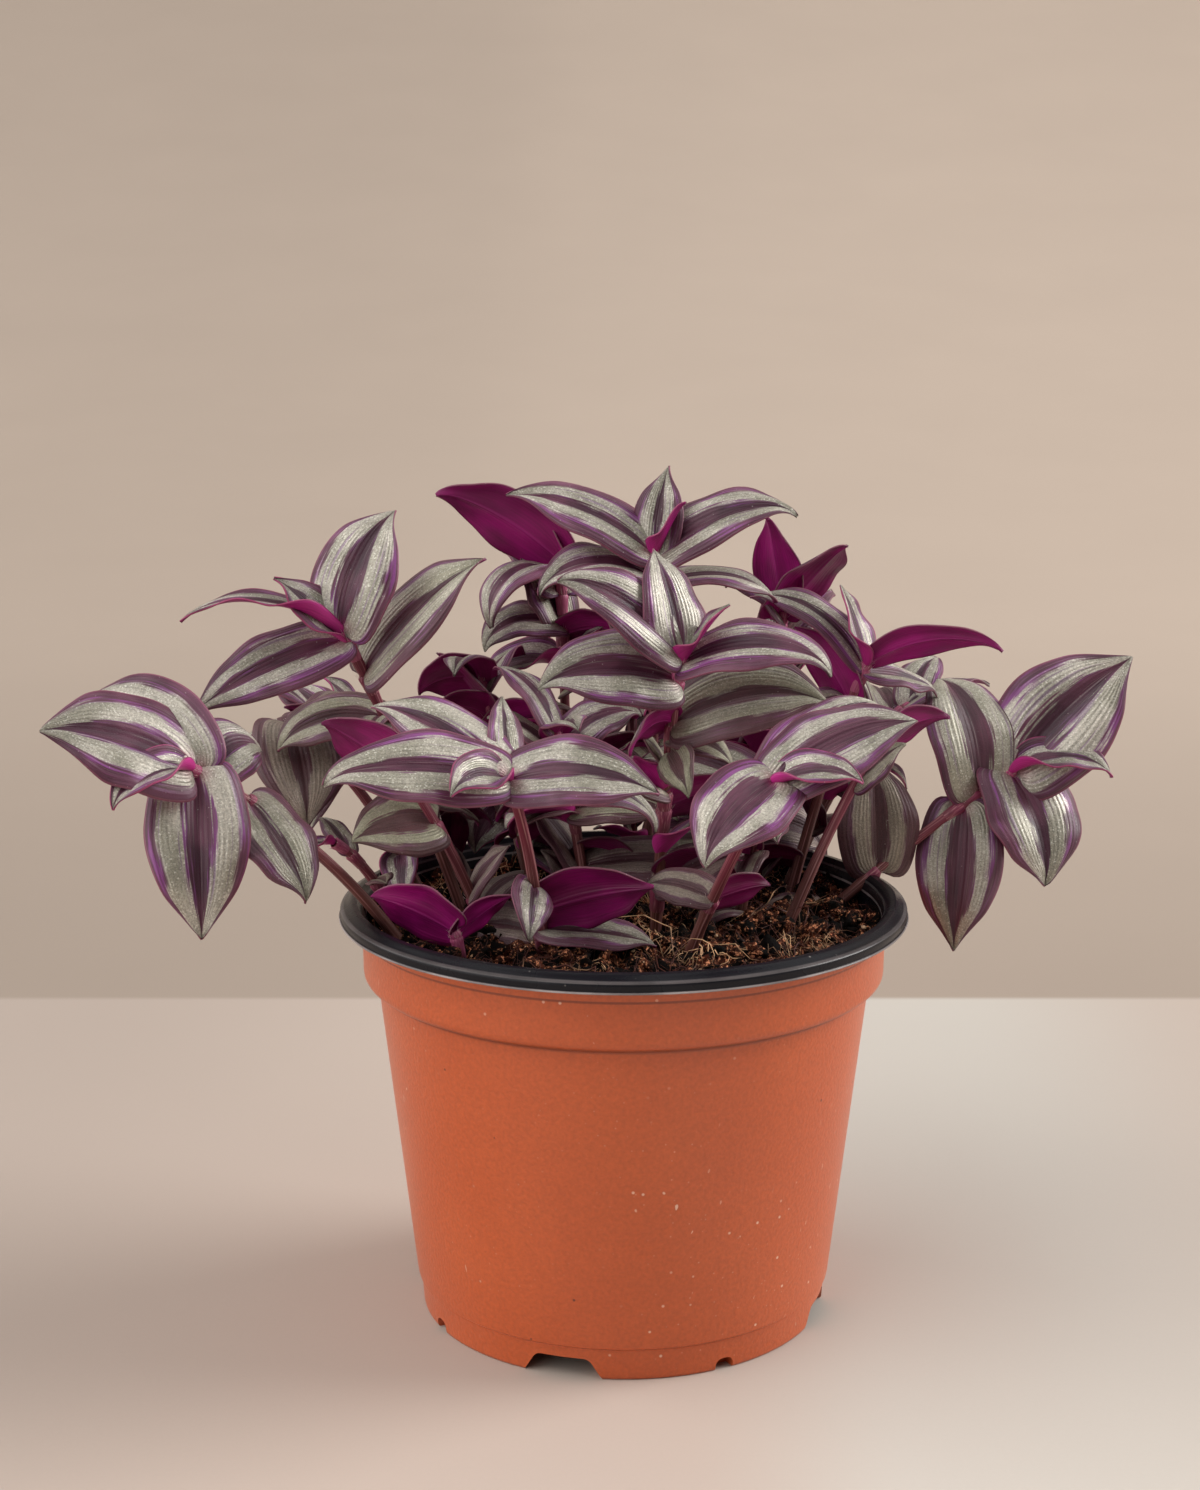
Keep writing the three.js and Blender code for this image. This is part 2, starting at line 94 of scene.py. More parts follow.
class Signal:
    """A value or colour inside a finish. Arithmetic on it adds Math nodes."""

    def __init__(self, finish, socket):
        self.finish = finish
        self.socket = socket

    def out(self, name):
        return Signal(self.finish, self.socket.node.outputs[name])

    def math(self, operation, *values):
        return self.finish.node("ShaderNodeMath", {"operation": operation}, dict(enumerate(values)))

    def __add__(self, other):
        return self.math("ADD", self, other)

    def __sub__(self, other):
        return self.math("SUBTRACT", self, other)

    def __rsub__(self, other):
        return self.math("SUBTRACT", other, self)

    def __mul__(self, other):
        return self.math("MULTIPLY", self, other)

    def __abs__(self):
        return self.math("ABSOLUTE", self)

    def fraction(self):
        return self.math("FRACT", self)

    def sine(self):
        return self.math("SINE", self)

    __radd__ = __add__
    __rmul__ = __mul__


class Finish:
    """The finish of one surface: a Principled shader with constant settings, and the nodes that vary it."""

    def __init__(self, name, **constants):
        self.material = bpy.data.materials.new(name)
        self.material.use_nodes = True
        self.tree = self.material.node_tree
        self.shader = self.tree.nodes["Principled BSDF"]
        self.feed(self.shader, {socket.replace("_", " "): value for socket, value in constants.items()})

    def feed(self, node, values):
        for socket, value in values.items():
            if isinstance(value, Signal):
                self.tree.links.new(value.socket, node.inputs[socket])
            else:
                node.inputs[socket].default_value = value

    def node(self, kind, settings, values, output=0):
        made = self.tree.nodes.new(kind)
        for setting, value in settings.items():
            setattr(made, setting, value)
        self.feed(made, values)
        return Signal(self, made.outputs[output])

    def place(self):
        """The point of the surface, in metres."""
        return self.node("ShaderNodeTexCoord", {}, {}, "Object")

    def speckle(self, where, scale, detail=2.0, roughness=0.5):
        """Smooth noise from 0 to 1 about 0.5, with scale spots to the metre or to the step of its point."""
        return self.node("ShaderNodeTexNoise", {}, {
            "Vector": where, "Scale": scale, "Detail": detail, "Roughness": roughness,
        })

    def cells(self, where, scale, output="Distance"):
        return self.node("ShaderNodeTexVoronoi", {}, {"Vector": where, "Scale": scale}, output)

    def point(self, x, y, z):
        return self.node("ShaderNodeCombineXYZ", {}, {"X": x, "Y": y, "Z": z})

    def step(self, value, low, high):
        """0 below low, 1 above high and smooth between them."""
        return self.node("ShaderNodeMapRange", {"interpolation_type": "SMOOTHSTEP"}, {
            "Value": value, "From Min": low, "From Max": high,
        })

    def mix(self, share, first, second):
        """A colour from first, at share 0, to second, at share 1."""
        return self.node("ShaderNodeMix", {"data_type": "RGBA"}, {0: share, 6: first, 7: second}, 2)

    def shade(self, paint, level):
        """A colour made lighter or darker by a factor."""
        return self.node("ShaderNodeVectorMath", {"operation": "SCALE"}, {0: paint, "Scale": level})

    def wear(self, **sockets):
        """Gives the shader's sockets what varies over the surface."""
        self.feed(self.shader, {socket.replace("_", " "): value for socket, value in sockets.items()})

    def bump(self, height, distance):
        """Raises the surface by a height from 0 to 1 times a distance in metres."""
        self.wear(Normal=self.node("ShaderNodeBump", {}, {
            "Strength": 1.0, "Distance": distance, "Height": height,
        }))


def add_piece(name, bm, *finishes):
    """Makes a bmesh an object with its place in its mesh, its faces smooth and its finishes in order."""
    mesh = bpy.data.meshes.new(name)
    for face in bm.faces:
        face.smooth = True
    bm.to_mesh(mesh)
    bm.free()
    piece = bpy.data.objects.new(name, mesh)
    bpy.context.scene.collection.objects.link(piece)
    for finish in finishes:
        mesh.materials.append(finish.material)
    return piece


PAINT_LINE = 0.261
PAINT_BLUR = 0.003
FLOOR_REACH = 0.8
FLOOR_WIDE = 12.0
FLOOR_FRONT = 2.5
COVE_RADIUS = 6.0
COVE_STEPS = 48
COVE_WALL = 1.5

table_paint = Finish("table_paint", Roughness=0.9, Specular_IOR_Level=0.1)
table_place = table_paint.place()
table_axes = table_paint.node("ShaderNodeSeparateXYZ", {}, {"Vector": table_place})
table_x, table_y = table_axes.out("X"), table_axes.out("Y")
behind = table_paint.step(table_y, PAINT_LINE - PAINT_BLUR, PAINT_LINE + PAINT_BLUR)
on_table = 1 - behind
paint = table_paint.mix(behind, colour(187, 172, 161), colour(170, 155, 142))
clouding = 0.97 + table_paint.speckle(table_place, 6) * 0.06
grain = 0.985 + table_paint.speckle(table_place, 900, 2) * 0.03
# Painted light and shade: lighter to the right, darker towards the back of the table, and on the wall darker
# low down and lighter higher up.
painted_side_light = 0.9 + table_paint.step(table_x, -0.6, 0.6) * 0.14
depth = 1.03 - table_paint.step(table_y, -0.3, PAINT_LINE) * 0.12
depth = depth - behind * 0.08 + table_paint.step(table_y, PAINT_LINE, 1.2) * 0.18
# Painted shadow: darker on the table left of and behind the pot, fainter on the wall.
painted_shadow_side = 1 - table_paint.step(table_x, -0.2, -0.02)
painted_shadow = painted_shadow_side * table_paint.step(table_y, -0.14, 0.1) * (1 - behind * 0.6) * 0.12
# Painted light: a lighter, greyer strip on the table just right of the pot, over the left light's shadow and
# the pot's reddish bounce.
painted_light_side = table_paint.step(table_x, 0.01, 0.07) * (1 - table_paint.step(table_x, 0.12, 0.24))
lift = painted_light_side * on_table * 0.1
paint = table_paint.mix(painted_light_side * on_table * 0.5, paint, colour(184, 186, 180))
light_level = clouding * painted_side_light * depth * grain * (1 - painted_shadow + lift)
table_paint.wear(Base_Color=table_paint.shade(paint, light_level))


def extrude_edges(bm, edges, shift):
    """Draws the edges out into a strip of faces and returns its far edges."""
    drawn = bmesh.ops.extrude_edge_only(bm, edges=edges)["geom"]
    moved = [item for item in drawn if isinstance(item, bmesh.types.BMVert)]
    bmesh.ops.translate(bm, vec=shift, verts=moved)
    return [item for item in drawn if isinstance(item, bmesh.types.BMEdge)]


bm = bmesh.new()
corners = [bm.verts.new((side * FLOOR_WIDE / 2, -FLOOR_FRONT, 0)) for side in (-1, 1)]
far_edges = [bm.edges.new(corners)]
far_edges = extrude_edges(bm, far_edges, (0, FLOOR_FRONT + FLOOR_REACH, 0))
chord = COVE_RADIUS * math.radians(90) / COVE_STEPS
for step in range(COVE_STEPS):
    turn = math.radians(90) * (step + 0.5) / COVE_STEPS
    far_edges = extrude_edges(bm, far_edges, (0, chord * math.cos(turn), chord * math.sin(turn)))
extrude_edges(bm, far_edges, (0, 0, COVE_WALL))
bmesh.ops.recalc_face_normals(bm, faces=bm.faces)
table = add_piece("table", bm, table_paint)


# Pot: one thin sheet of moulded plastic, terracotta outside and black inside and on its rolled rim.
# It has a shoulder where the next pot in a stack rests, a foot ring and drainage channels under the floor.
POT_HEIGHT = 112 * MM
RIM_RADIUS = 75 * MM
BAND_RADIUS = 69.2 * MM
SHOULDER_RADIUS = 64.9 * MM
SHOULDER_HEIGHT = 88 * MM
FOOT_RADIUS = 54.5 * MM
FOOT_HEIGHT = 8 * MM
WALL = 1.4 * MM
CHANNEL_BOTTOM_HALF = 12.2 * MM
CHANNEL_TOP_HALF = 7 * MM
CHANNEL_HEIGHT = 5.5 * MM
CHANNEL_TURN = -17
NOTCH_HALF = 2.6 * MM
NOTCH_HEIGHT = 3.2 * MM
NOTCH_DEPTH = 4 * MM
DRAIN_RADIUS = 4 * MM
DRAIN_PLACE = 36 * MM
RAMP_ROUND = 1.6 * MM
CUTTER_BOTTOM = -3 * MM
CUTTER_PAST_FOOT = 5 * MM
POT_ROUND = 192
SHARP_EDGE = math.radians(35)
# Heights of the painted shade lines under the shoulder and in the crease under the rim
CORNER_HEIGHT = SHOULDER_HEIGHT + 2.8 * MM
BAND_STEP_HEIGHT = POT_HEIGHT - 8.0 * MM
BLACK_FROM = POT_HEIGHT - 4.35 * MM
LIP_HEIGHT = POT_HEIGHT - 4.0 * MM
RIDGE_HEIGHT = POT_HEIGHT - 1.5 * MM


def beside(radius, height, offsets):
    """Points of an outline, given in millimetres out and up from one of its corners."""
    return [(radius + out * MM, height + up * MM) for out, up in offsets]


# The outer outline, as radius and height, from the floor over the foot, wall, shoulder, band and rim
OUTSIDE = [
    (0, 0),
    *beside(FOOT_RADIUS, 0, [(-1.1, 0), (-0.7, 0.15), (-0.45, 0.5), (-0.3, 1.2)]),
    *beside(FOOT_RADIUS, FOOT_HEIGHT, [
        (0.1, -0.3), (0.2, 0), (0.15, 0.35), (0.5, 0.6), (1.0, 1.0), (1.2, 2),
    ]),
    *beside(SHOULDER_RADIUS, SHOULDER_HEIGHT, [(-0.05, 1), (0.05, 2), (0.3, 2.4), (2.4, 3.4)]),
    *beside(BAND_RADIUS, SHOULDER_HEIGHT, [(-1.0, 4.1), (-0.6, 4.8), (-0.45, 5.8)]),
    *beside(BAND_RADIUS, POT_HEIGHT, [
        (-0.3, -8.1), (-0.25, -7.8), (0.3, -7.65), (0.4, -7.4), (0.45, -4.6), (0.6, -4.3),
    ]),
    *beside(RIM_RADIUS, POT_HEIGHT, [
        (-0.8, -4.25), (-0.1, -4.2), (0, -4.0), (-0.1, -3.75), (-0.45, -3.6), (-0.4, -2.6), (-0.4, -1.9),
        (-0.55, -1.6), (-0.9, -1.4), (-1.25, -1.3), (-2.4, -0.6), (-3.1, -0.15), (-3.6, 0),
    ]),
    (0, POT_HEIGHT),
]
# The outline of the hollow, one wall inside the outer one
INSIDE = [
    (0, WALL),
    (FOOT_RADIUS - 0.5 * MM - WALL, WALL),
    (FOOT_RADIUS - WALL, FOOT_HEIGHT),
    (FOOT_RADIUS + 1 * MM - WALL, FOOT_HEIGHT + 2 * MM),
    (SHOULDER_RADIUS - WALL, SHOULDER_HEIGHT + 2 * MM),
    (BAND_RADIUS - 0.8 * MM - WALL, SHOULDER_HEIGHT + 6.5 * MM),
    *beside(BAND_RADIUS - WALL, POT_HEIGHT, [
        (0, -5), (0.3, -3), (0.9, -1.4), (1.8, -0.5), (2.6, 0.2), (3.0, 1),
    ]),
    (0, POT_HEIGHT + 1 * MM),
]


def turned(profile, sides):
    """A closed body turned about the pot's axis from (radius, height) points that start and end on it."""
    bm = bmesh.new()
    points = [bm.verts.new((radius, 0, height)) for radius, height in profile]
    lines = [bm.edges.new(pair) for pair in zip(points, points[1:])]
    bmesh.ops.spin(
        bm, geom=points + lines, cent=(0, 0, 0), axis=(0, 0, 1),
        angle=2 * math.pi, steps=sides, use_merge=True, use_duplicate=False,
    )
    bmesh.ops.remove_doubles(bm, verts=bm.verts, dist=1e-6)
    bmesh.ops.recalc_face_normals(bm, faces=bm.faces)
    return bm


def bar(bm, outline, start, length, turn):
    """A straight bar with (across, up) corners, from start along X, turned about the pot's axis."""
    corners = [bm.verts.new((start, across, up)) for across, up in outline]
    face = bm.faces.new(corners)
    drawn = bmesh.ops.extrude_face_region(bm, geom=[face])["geom"]
    far = [item for item in drawn if isinstance(item, bmesh.types.BMVert)]
    bmesh.ops.translate(bm, vec=(length, 0, 0), verts=far)
    bmesh.ops.rotate(bm, cent=(0, 0, 0), matrix=Matrix.Rotation(turn, 3, "Z"), verts=corners + far)


def soft_corner(before, corner, after, radius, steps=4):
    """Points that round a corner of an outline: a quadratic curve between its two sides."""
    before, corner, after = Vector(before), Vector(corner), Vector(after)
    near = corner + (before - corner).normalized() * radius
    far = corner + (after - corner).normalized() * radius
    shares = [step / steps for step in range(steps + 1)]
    return [near * (1 - t) ** 2 + corner * 2 * t * (1 - t) + far * t ** 2 for t in shares]


def both_sides(outline):
    """An outline's right side, from the bottom up, and then its left side back down."""
    return outline + [(-across, up) for across, up in reversed(outline)]


def foot_cuts(name, margin):
    """The channels and notches of the foot, widened by a margin, as one cutting object."""
    low = CHANNEL_BOTTOM_HALF + margin
    high = CHANNEL_TOP_HALF + margin
    ceiling = CHANNEL_HEIGHT + margin
    ramp = soft_corner((low, CUTTER_BOTTOM), (high, ceiling), (0, ceiling), RAMP_ROUND)
    channel = both_sides([(low, CUTTER_BOTTOM), *ramp])
    half = NOTCH_HALF + margin
    crown = NOTCH_HEIGHT + margin
    arch = soft_corner((half, CUTTER_BOTTOM), (half, crown), (0, crown), half * 0.9, 5)
    notch = both_sides([(half, CUTTER_BOTTOM), *arch])
    bm = bmesh.new()
    reach = FOOT_RADIUS + CUTTER_PAST_FOOT
    notch_start = FOOT_RADIUS - NOTCH_DEPTH - margin
    notch_length = NOTCH_DEPTH + margin + CUTTER_PAST_FOOT
    for quarter in range(2):
        bar(bm, channel, -reach, 2 * reach, math.radians(CHANNEL_TURN + 90 * quarter))
    for quarter in range(4):
        bar(bm, notch, notch_start, notch_length, math.radians(CHANNEL_TURN + 45 + 90 * quarter))
    bmesh.ops.recalc_face_normals(bm, faces=bm.faces)
    return add_piece(name, bm)


def cut(piece, cutter):
    """Cuts one closed object with another and removes the cutter."""
    knife = piece.modifiers.new("cut", "BOOLEAN")
    knife.operation = "DIFFERENCE"
    knife.object = cutter
    knife.solver = "EXACT"
    knife.use_self = True
    bpy.context.view_layer.update()
    shaped = bpy.data.meshes.new_from_object(piece.evaluated_get(bpy.context.evaluated_depsgraph_get()))
    piece.modifiers.clear()
    piece.data = shaped
    bpy.data.objects.remove(cutter)


pot_plastic = Finish("pot_plastic", Specular_IOR_Level=0.5, Coat_Weight=0.3, Coat_Roughness=0.3)
rim_plastic = Finish("rim_plastic", Specular_IOR_Level=0.2)

pot_place = pot_plastic.place()
wall_height = pot_plastic.node("ShaderNodeSeparateXYZ", {}, {"Vector": pot_place}, "Z")
peel = pot_plastic.speckle(pot_place, 1000, 1)
patch = pot_plastic.speckle(pot_place, 25, 3)
dusty = pot_plastic.step(pot_plastic.speckle(pot_place, 16, 2), 0.44, 0.62)
dust = (1 - pot_plastic.step(pot_plastic.cells(pot_place, 190), 0.04, 0.1)) * dusty
fine_dust = 1 - pot_plastic.step(pot_plastic.cells(pot_place, 420), 0.05, 0.14)
fine_dust = fine_dust * pot_plastic.step(patch, 0.4, 0.7)
dark_specks = 1 - pot_plastic.step(pot_plastic.cells(pot_place, 70), 0.02, 0.035)
skew = pot_plastic.node("ShaderNodeMapping", {}, {
    "Vector": pot_place, "Rotation": (0.6, 0.4, 0.2), "Scale": (260, 1500, 210),
})
scratches = pot_plastic.step(pot_plastic.speckle(skew, 1, 1), 0.77, 0.8) * dusty
# Painted shade: a dark line in the crease under the rim and another on the slope under the shoulder's
# overhang.
painted_crease_shade = 1 - pot_plastic.step(abs(wall_height - BAND_STEP_HEIGHT), 0.0002, 0.0006)
corner = 1 - pot_plastic.step(abs(wall_height - CORNER_HEIGHT), 0.0005, 0.0013)
clay = pot_plastic.mix(patch, colour(178, 77, 35), colour(194, 91, 44))
clay = pot_plastic.shade(clay, 0.8 + peel * 0.4)
clay = pot_plastic.mix((dust + scratches) * 0.7 + fine_dust * 0.25, clay, colour(236, 202, 178))
clay = pot_plastic.mix(dark_specks * 0.8, clay, colour(70, 34, 24))
clay = pot_plastic.mix((painted_crease_shade + corner) * 0.62, clay, colour(86, 34, 18))
pot_plastic.wear(Base_Color=clay, Roughness=0.36 + patch * 0.12 + dust * 0.2)
pot_plastic.bump(peel, 0.00012)

rim_place = rim_plastic.place()
rim_height = rim_plastic.node("ShaderNodeSeparateXYZ", {}, {"Vector": rim_place}, "Z")
scuff = rim_plastic.speckle(rim_place, 60, 4)
rim_dust = 1 - rim_plastic.step(rim_plastic.cells(rim_place, 240), 0.04, 0.1)
rim_dust = rim_dust * rim_plastic.step(rim_plastic.speckle(rim_place, 20, 2), 0.5, 0.6)
# Pale lines along the lip and along the ridge near the top: partly wear, partly painted highlight.
lip = 1 - rim_plastic.step(abs(rim_height - LIP_HEIGHT), 0.0002, 0.0004)
ridge = 1 - rim_plastic.step(abs(rim_height - RIDGE_HEIGHT), 0.00015, 0.0004)
wear_and_painted_highlight = lip * (0.45 + rim_plastic.step(scuff, 0.35, 0.65) * 0.5) + ridge * scuff * 0.4
black = rim_plastic.mix(scuff, colour(16, 16, 20), colour(28, 28, 34))
black = rim_plastic.mix(wear_and_painted_highlight, black, colour(168, 158, 156))
black = rim_plastic.mix(rim_dust * 0.5, black, colour(150, 145, 140))
rim_plastic.wear(Base_Color=black, Roughness=0.2 + scuff * 0.14)
rim_plastic.bump(rim_plastic.speckle(rim_place, 1500, 1), 0.00003)

pot = add_piece("pot_shell", turned(OUTSIDE, POT_ROUND))
cut(pot, foot_cuts("foot_cuts", 0))
hollow = add_piece("hollow", turned(INSIDE, POT_ROUND))
cut(hollow, foot_cuts("inner_foot_cuts", WALL))
cut(pot, hollow)
bm = bmesh.new()
for quarter in range(4):
    drill = bmesh.ops.create_cone(
        bm, cap_ends=True, segments=24,
        radius1=DRAIN_RADIUS, radius2=DRAIN_RADIUS, depth=4 * CHANNEL_HEIGHT,
    )["verts"]
    bmesh.ops.translate(bm, vec=(DRAIN_PLACE, 0, 0), verts=drill)
    turn = Matrix.Rotation(math.radians(CHANNEL_TURN + 90 * quarter), 3, "Z")
    bmesh.ops.rotate(bm, cent=(0, 0, 0), matrix=turn, verts=drill)
cut(pot, add_piece("drains", bm))

bm = bmesh.new()
bm.from_mesh(pot.data)
pot.data.materials.clear()
pot.data.materials.append(pot_plastic.material)
pot.data.materials.append(rim_plastic.material)
bmesh.ops.remove_doubles(bm, verts=bm.verts, dist=2e-6)
for face in bm.faces:
    middle = face.calc_center_median()
    outward = Vector((middle.x, middle.y, 0)).dot(face.normal) > 0
    inner_wall = not outward and middle.z > 2 * WALL
    face.material_index = 1 if middle.z > BLACK_FROM or inner_wall else 0
    face.smooth = True
for line in bm.edges:
    line.smooth = len(line.link_faces) != 2 or line.calc_face_angle() < SHARP_EDGE
bm.to_mesh(pot.data)
bm.free()
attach(pot, "root")
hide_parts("pot")


# Potting mix: coconut fibre and peat, loose and uneven on top, with clods, pale grains and stray fibres.
# It fills the pot to a few millimetres under the rim: one turned body with loose pieces on it.
SOIL_TOP = 106 * MM
SOIL_DEEP = 14 * MM
SOIL_EDGE = BAND_RADIUS - WALL - 0.4 * MM
SOIL_SKIRT = SOIL_EDGE - 0.6 * MM
SOIL_RINGS = 84
SOIL_ROUND = 240
HEAP = 1.6 * MM
CLOD = 5 * MM
CRUMB = 1.1 * MM
BANK = 6 * MM
LOTS = 8
CLODS_IN_LOT = 64
CRUMBS_IN_LOT = 180
SHORT_FIBRES_IN_LOT = 130
LONG_FIBRES_IN_LOT = 9
GRAINS = 130
FULL_TURN = 6.28

soil_mix = Finish("soil_mix", Specular_IOR_Level=0.1)
soil_place = soil_mix.place()
lump = soil_mix.speckle(soil_place, 160, 5, 0.65)
crumb = soil_mix.speckle(soil_place, 900, 4, 0.7)
brown = soil_mix.mix(soil_mix.step(lump, 0.49, 0.68), colour(8, 4, 3), colour(92, 48, 34))
# Bright orange tufts of fibre in the mix: partly the fibre's colour, partly painted highlight.
tufts_and_highlights = soil_mix.step(crumb, 0.53, 0.64) * soil_mix.step(lump, 0.44, 0.56)
brown = soil_mix.mix(tufts_and_highlights, brown, colour(246, 166, 122))
flecks = 1 - soil_mix.step(soil_mix.cells(soil_place, 420), 0.06, 0.14)
brown = soil_mix.mix(flecks * soil_mix.step(lump, 0.48, 0.58), brown, colour(238, 198, 160))
soil_mix.wear(Base_Color=brown, Roughness=0.8 + crumb * 0.15)
soil_mix.bump(crumb, 0.0007)

coir = Finish("coir_fibre", Specular_IOR_Level=0.4)
coir_tone = coir.speckle(coir.place(), 45, 2)
# The lighter fibres are partly their own golden colour, partly painted highlight.
coir.wear(
    Base_Color=coir.mix(coir.step(coir_tone, 0.48, 0.62), colour(80, 36, 24), colour(255, 206, 156)),
    Roughness=0.45 + coir_tone * 0.3,
)

pale_grain = Finish("pale_grain", Roughness=0.7)
grain_tone = pale_grain.speckle(pale_grain.place(), 150, 3)
pale_grain.wear(Base_Color=pale_grain.mix(grain_tone, colour(150, 96, 62), colour(240, 208, 168)))
pale_grain.bump(grain_tone, 0.0004)


def soil_height(x, y):
    """The height of the mix at a place: gentle heaps, clods and crumbs, banked up beside the wall."""
    heaps = math.sin(190 * x + 1.3) * math.cos(230 * y) + 0.5 * math.sin(410 * x - 370 * y + 2)
    clods = noise.turbulence(Vector((x, y, 0.3)) * 150, 3, False, noise_basis="PERLIN_ORIGINAL")
    crumbs = noise.fractal(Vector((x, y, 0.7)) * 520, 0.7, 2.0, 4)
    edge = max(0.0, (math.hypot(x, y) - 0.8 * SOIL_EDGE) / SOIL_EDGE)
    return SOIL_TOP + HEAP * heaps + CLOD * (clods - 0.45) + CRUMB * crumbs + BANK * edge


profile = [(SOIL_EDGE * ring / SOIL_RINGS, SOIL_TOP) for ring in range(SOIL_RINGS + 1)]
profile += [(SOIL_SKIRT, SOIL_TOP - SOIL_DEEP), (0, SOIL_TOP - SOIL_DEEP)]
bm = turned(profile, SOIL_ROUND)
for vert in bm.verts:
    if vert.co.z > SOIL_TOP - 1 * MM:
        vert.co.z = soil_height(vert.co.x, vert.co.y)
soil = add_piece("potting_mix", bm, soil_mix)
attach(soil, "root")
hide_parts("soil")


def somewhere(draw, reach):
    """A random place within a radius, as x and y."""
    turn = draw.uniform(0, 2 * math.pi)
    away = reach * math.sqrt(draw.random())
    return away * math.cos(turn), away * math.sin(turn)


def crumb_at(bm, draw, size, rough, level, detail):
    """One crumb of the mix: a small ball with a pushed-about surface, half sunk where it lies."""
    x, y = somewhere(draw, SOIL_EDGE - size)
    made = bmesh.ops.create_icosphere(bm, subdivisions=detail, radius=size)["verts"]
    squash = Vector((draw.uniform(0.7, 1.4), draw.uniform(0.7, 1.2), draw.uniform(0.5, 0.9)))
    heading = Matrix.Rotation(draw.uniform(0, FULL_TURN), 3, "Z")
    turn = heading @ Matrix.Rotation(draw.uniform(-0.6, 0.6), 3, "X")
    shift = Vector((x, y, soil_height(x, y) + level * size))
    for vert in made:
        push = 1 + rough * noise.noise(vert.co / size * 1.7 + shift * 997)
        vert.co = turn @ (vert.co * push * squash) + shift


draw = random.Random(11)
for lot in range(LOTS):
    bm = bmesh.new()
    for _ in range(CLODS_IN_LOT):
        crumb_at(bm, draw, size=draw.uniform(0.8, 2.6) * MM, rough=1.0, level=0.35, detail=2)
    for _ in range(CRUMBS_IN_LOT):
        crumb_at(bm, draw, size=draw.uniform(0.3, 0.9) * MM, rough=0.8, level=0.6, detail=1)
    crumbs = add_piece(f"soil_crumbs_{lot}", bm, soil_mix)
    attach(crumbs, "root")

bm = bmesh.new()
for _ in range(GRAINS):
    crumb_at(bm, draw, size=draw.uniform(0.25, 0.8) * MM, rough=0.5, level=1.1, detail=1)
grains = add_piece("soil_grains", bm, pale_grain)
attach(grains, "root")


def tube(bm, path, radius, rings, sides, finish=0):
    """A closed tube along path(t), of radius(t), t from 0 to 1, with its pattern map along and round."""
    made = bmesh.ops.create_grid(bm, x_segments=rings, y_segments=sides, size=1, calc_uvs=True)["verts"]
    faces = {face for vert in made for face in vert.link_faces}
    side = None
    frames = []
    for ring in range(rings + 1):
        t = ring / rings
        ahead = (path(min(t + 0.01, 1)) - path(max(t - 0.01, 0))).normalized()
        if side is None:
            side = ahead.orthogonal().normalized()
        side = (side - ahead * side.dot(ahead)).normalized()
        frames.append((path(t), side, ahead.cross(side), radius(t)))
    for vert in made:
        centre, side, over, size = frames[round((vert.co.x + 1) / 2 * rings)]
        turn = math.pi * (vert.co.y + 1)
        vert.co = centre + (side * math.cos(turn) + over * math.sin(turn)) * size
    for face in faces:
        face.material_index = finish
    bmesh.ops.remove_doubles(bm, verts=made, dist=1e-6)


def fibre(bm, draw, start, length, thick, lift, rings):
    """One fibre: a thin curly tube that lies on the mix or stands out of it."""
    heading = draw.uniform(0, 2 * math.pi)
    bend = draw.uniform(-5, 5)
    rise = draw.uniform(0.1, 1.0) ** 2 * lift
    wave = draw.uniform(0, 6)

    def path(t):
        turn = heading + bend * t + 0.9 * math.sin(wave + 5 * t)
        x = start[0] + length * t * math.cos(turn)
        y = start[1] + length * t * math.sin(turn)
        away = math.hypot(x, y)
        limit = SOIL_EDGE - 1 * MM
        if away > limit:
            x, y = x * limit / away, y * limit / away
        arch = math.sin(math.pi * min(1, 0.06 + t)) * rise
        return Vector((x, y, soil_height(x, y) + arch + 0.2 * MM))

    tube(bm, path, lambda t: thick * (1.02 - abs(2 * t - 1) ** 6), rings, 3)


for lot in range(LOTS):
    bm = bmesh.new()
    bm.loops.layers.uv.new("along")
    for _ in range(SHORT_FIBRES_IN_LOT):
        start = somewhere(draw, SOIL_EDGE - 2 * MM)
        length = draw.uniform(3, 9) * MM
        fibre(bm, draw, start, length, thick=draw.uniform(0.05, 0.12) * MM, lift=3 * MM, rings=7)
    for _ in range(LONG_FIBRES_IN_LOT):
        start = somewhere(draw, SOIL_EDGE - 4 * MM)
        length = draw.uniform(12, 24) * MM
        fibre(bm, draw, start, length, thick=draw.uniform(0.08, 0.18) * MM, lift=7 * MM, rings=14)
    fibres = add_piece(f"soil_fibres_{lot}", bm, coir)
    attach(fibres, "root")


# Leafy stems: each trailing stem carries alternate leaves whose bases clasp it in a short hairy sheath.
# The leaf is silver-green in two bands between a dark midrib and dark margins, and magenta underneath.
STEM_RADIUS = 1.6 * MM
ROOT_HEIGHT = SOIL_TOP - 12 * MM
SHEATH_LENGTH = 7 * MM
BRISTLES = 12
BRISTLE_RADIUS = 0.05 * MM
BLADE = 0.45 * MM
NECK_HALF = 1.2 * MM
TIP_HALF = 0.12 * MM
CREASE_DEPTH = 0.3 * MM
CREASE_HALF = 0.6 * MM
OUTLINE_RISE = 0.5
OUTLINE_FALL = 0.85
CURL = 1.3
VEINS = 130
# How fast age and painted shade grow down a stem
AGE_AND_SHADE_STEP = 2.6
LARGE_LEAF = 25
LARGE_GRID = (40, 16)
SMALL_GRID = (26, 10)

# A grown leaf: how far its halves lift, arch and reach back at the base, as shares of half its width
HALF_LIFT = 0.52
HALF_ARCH = 0.5
LOBE = 0.7

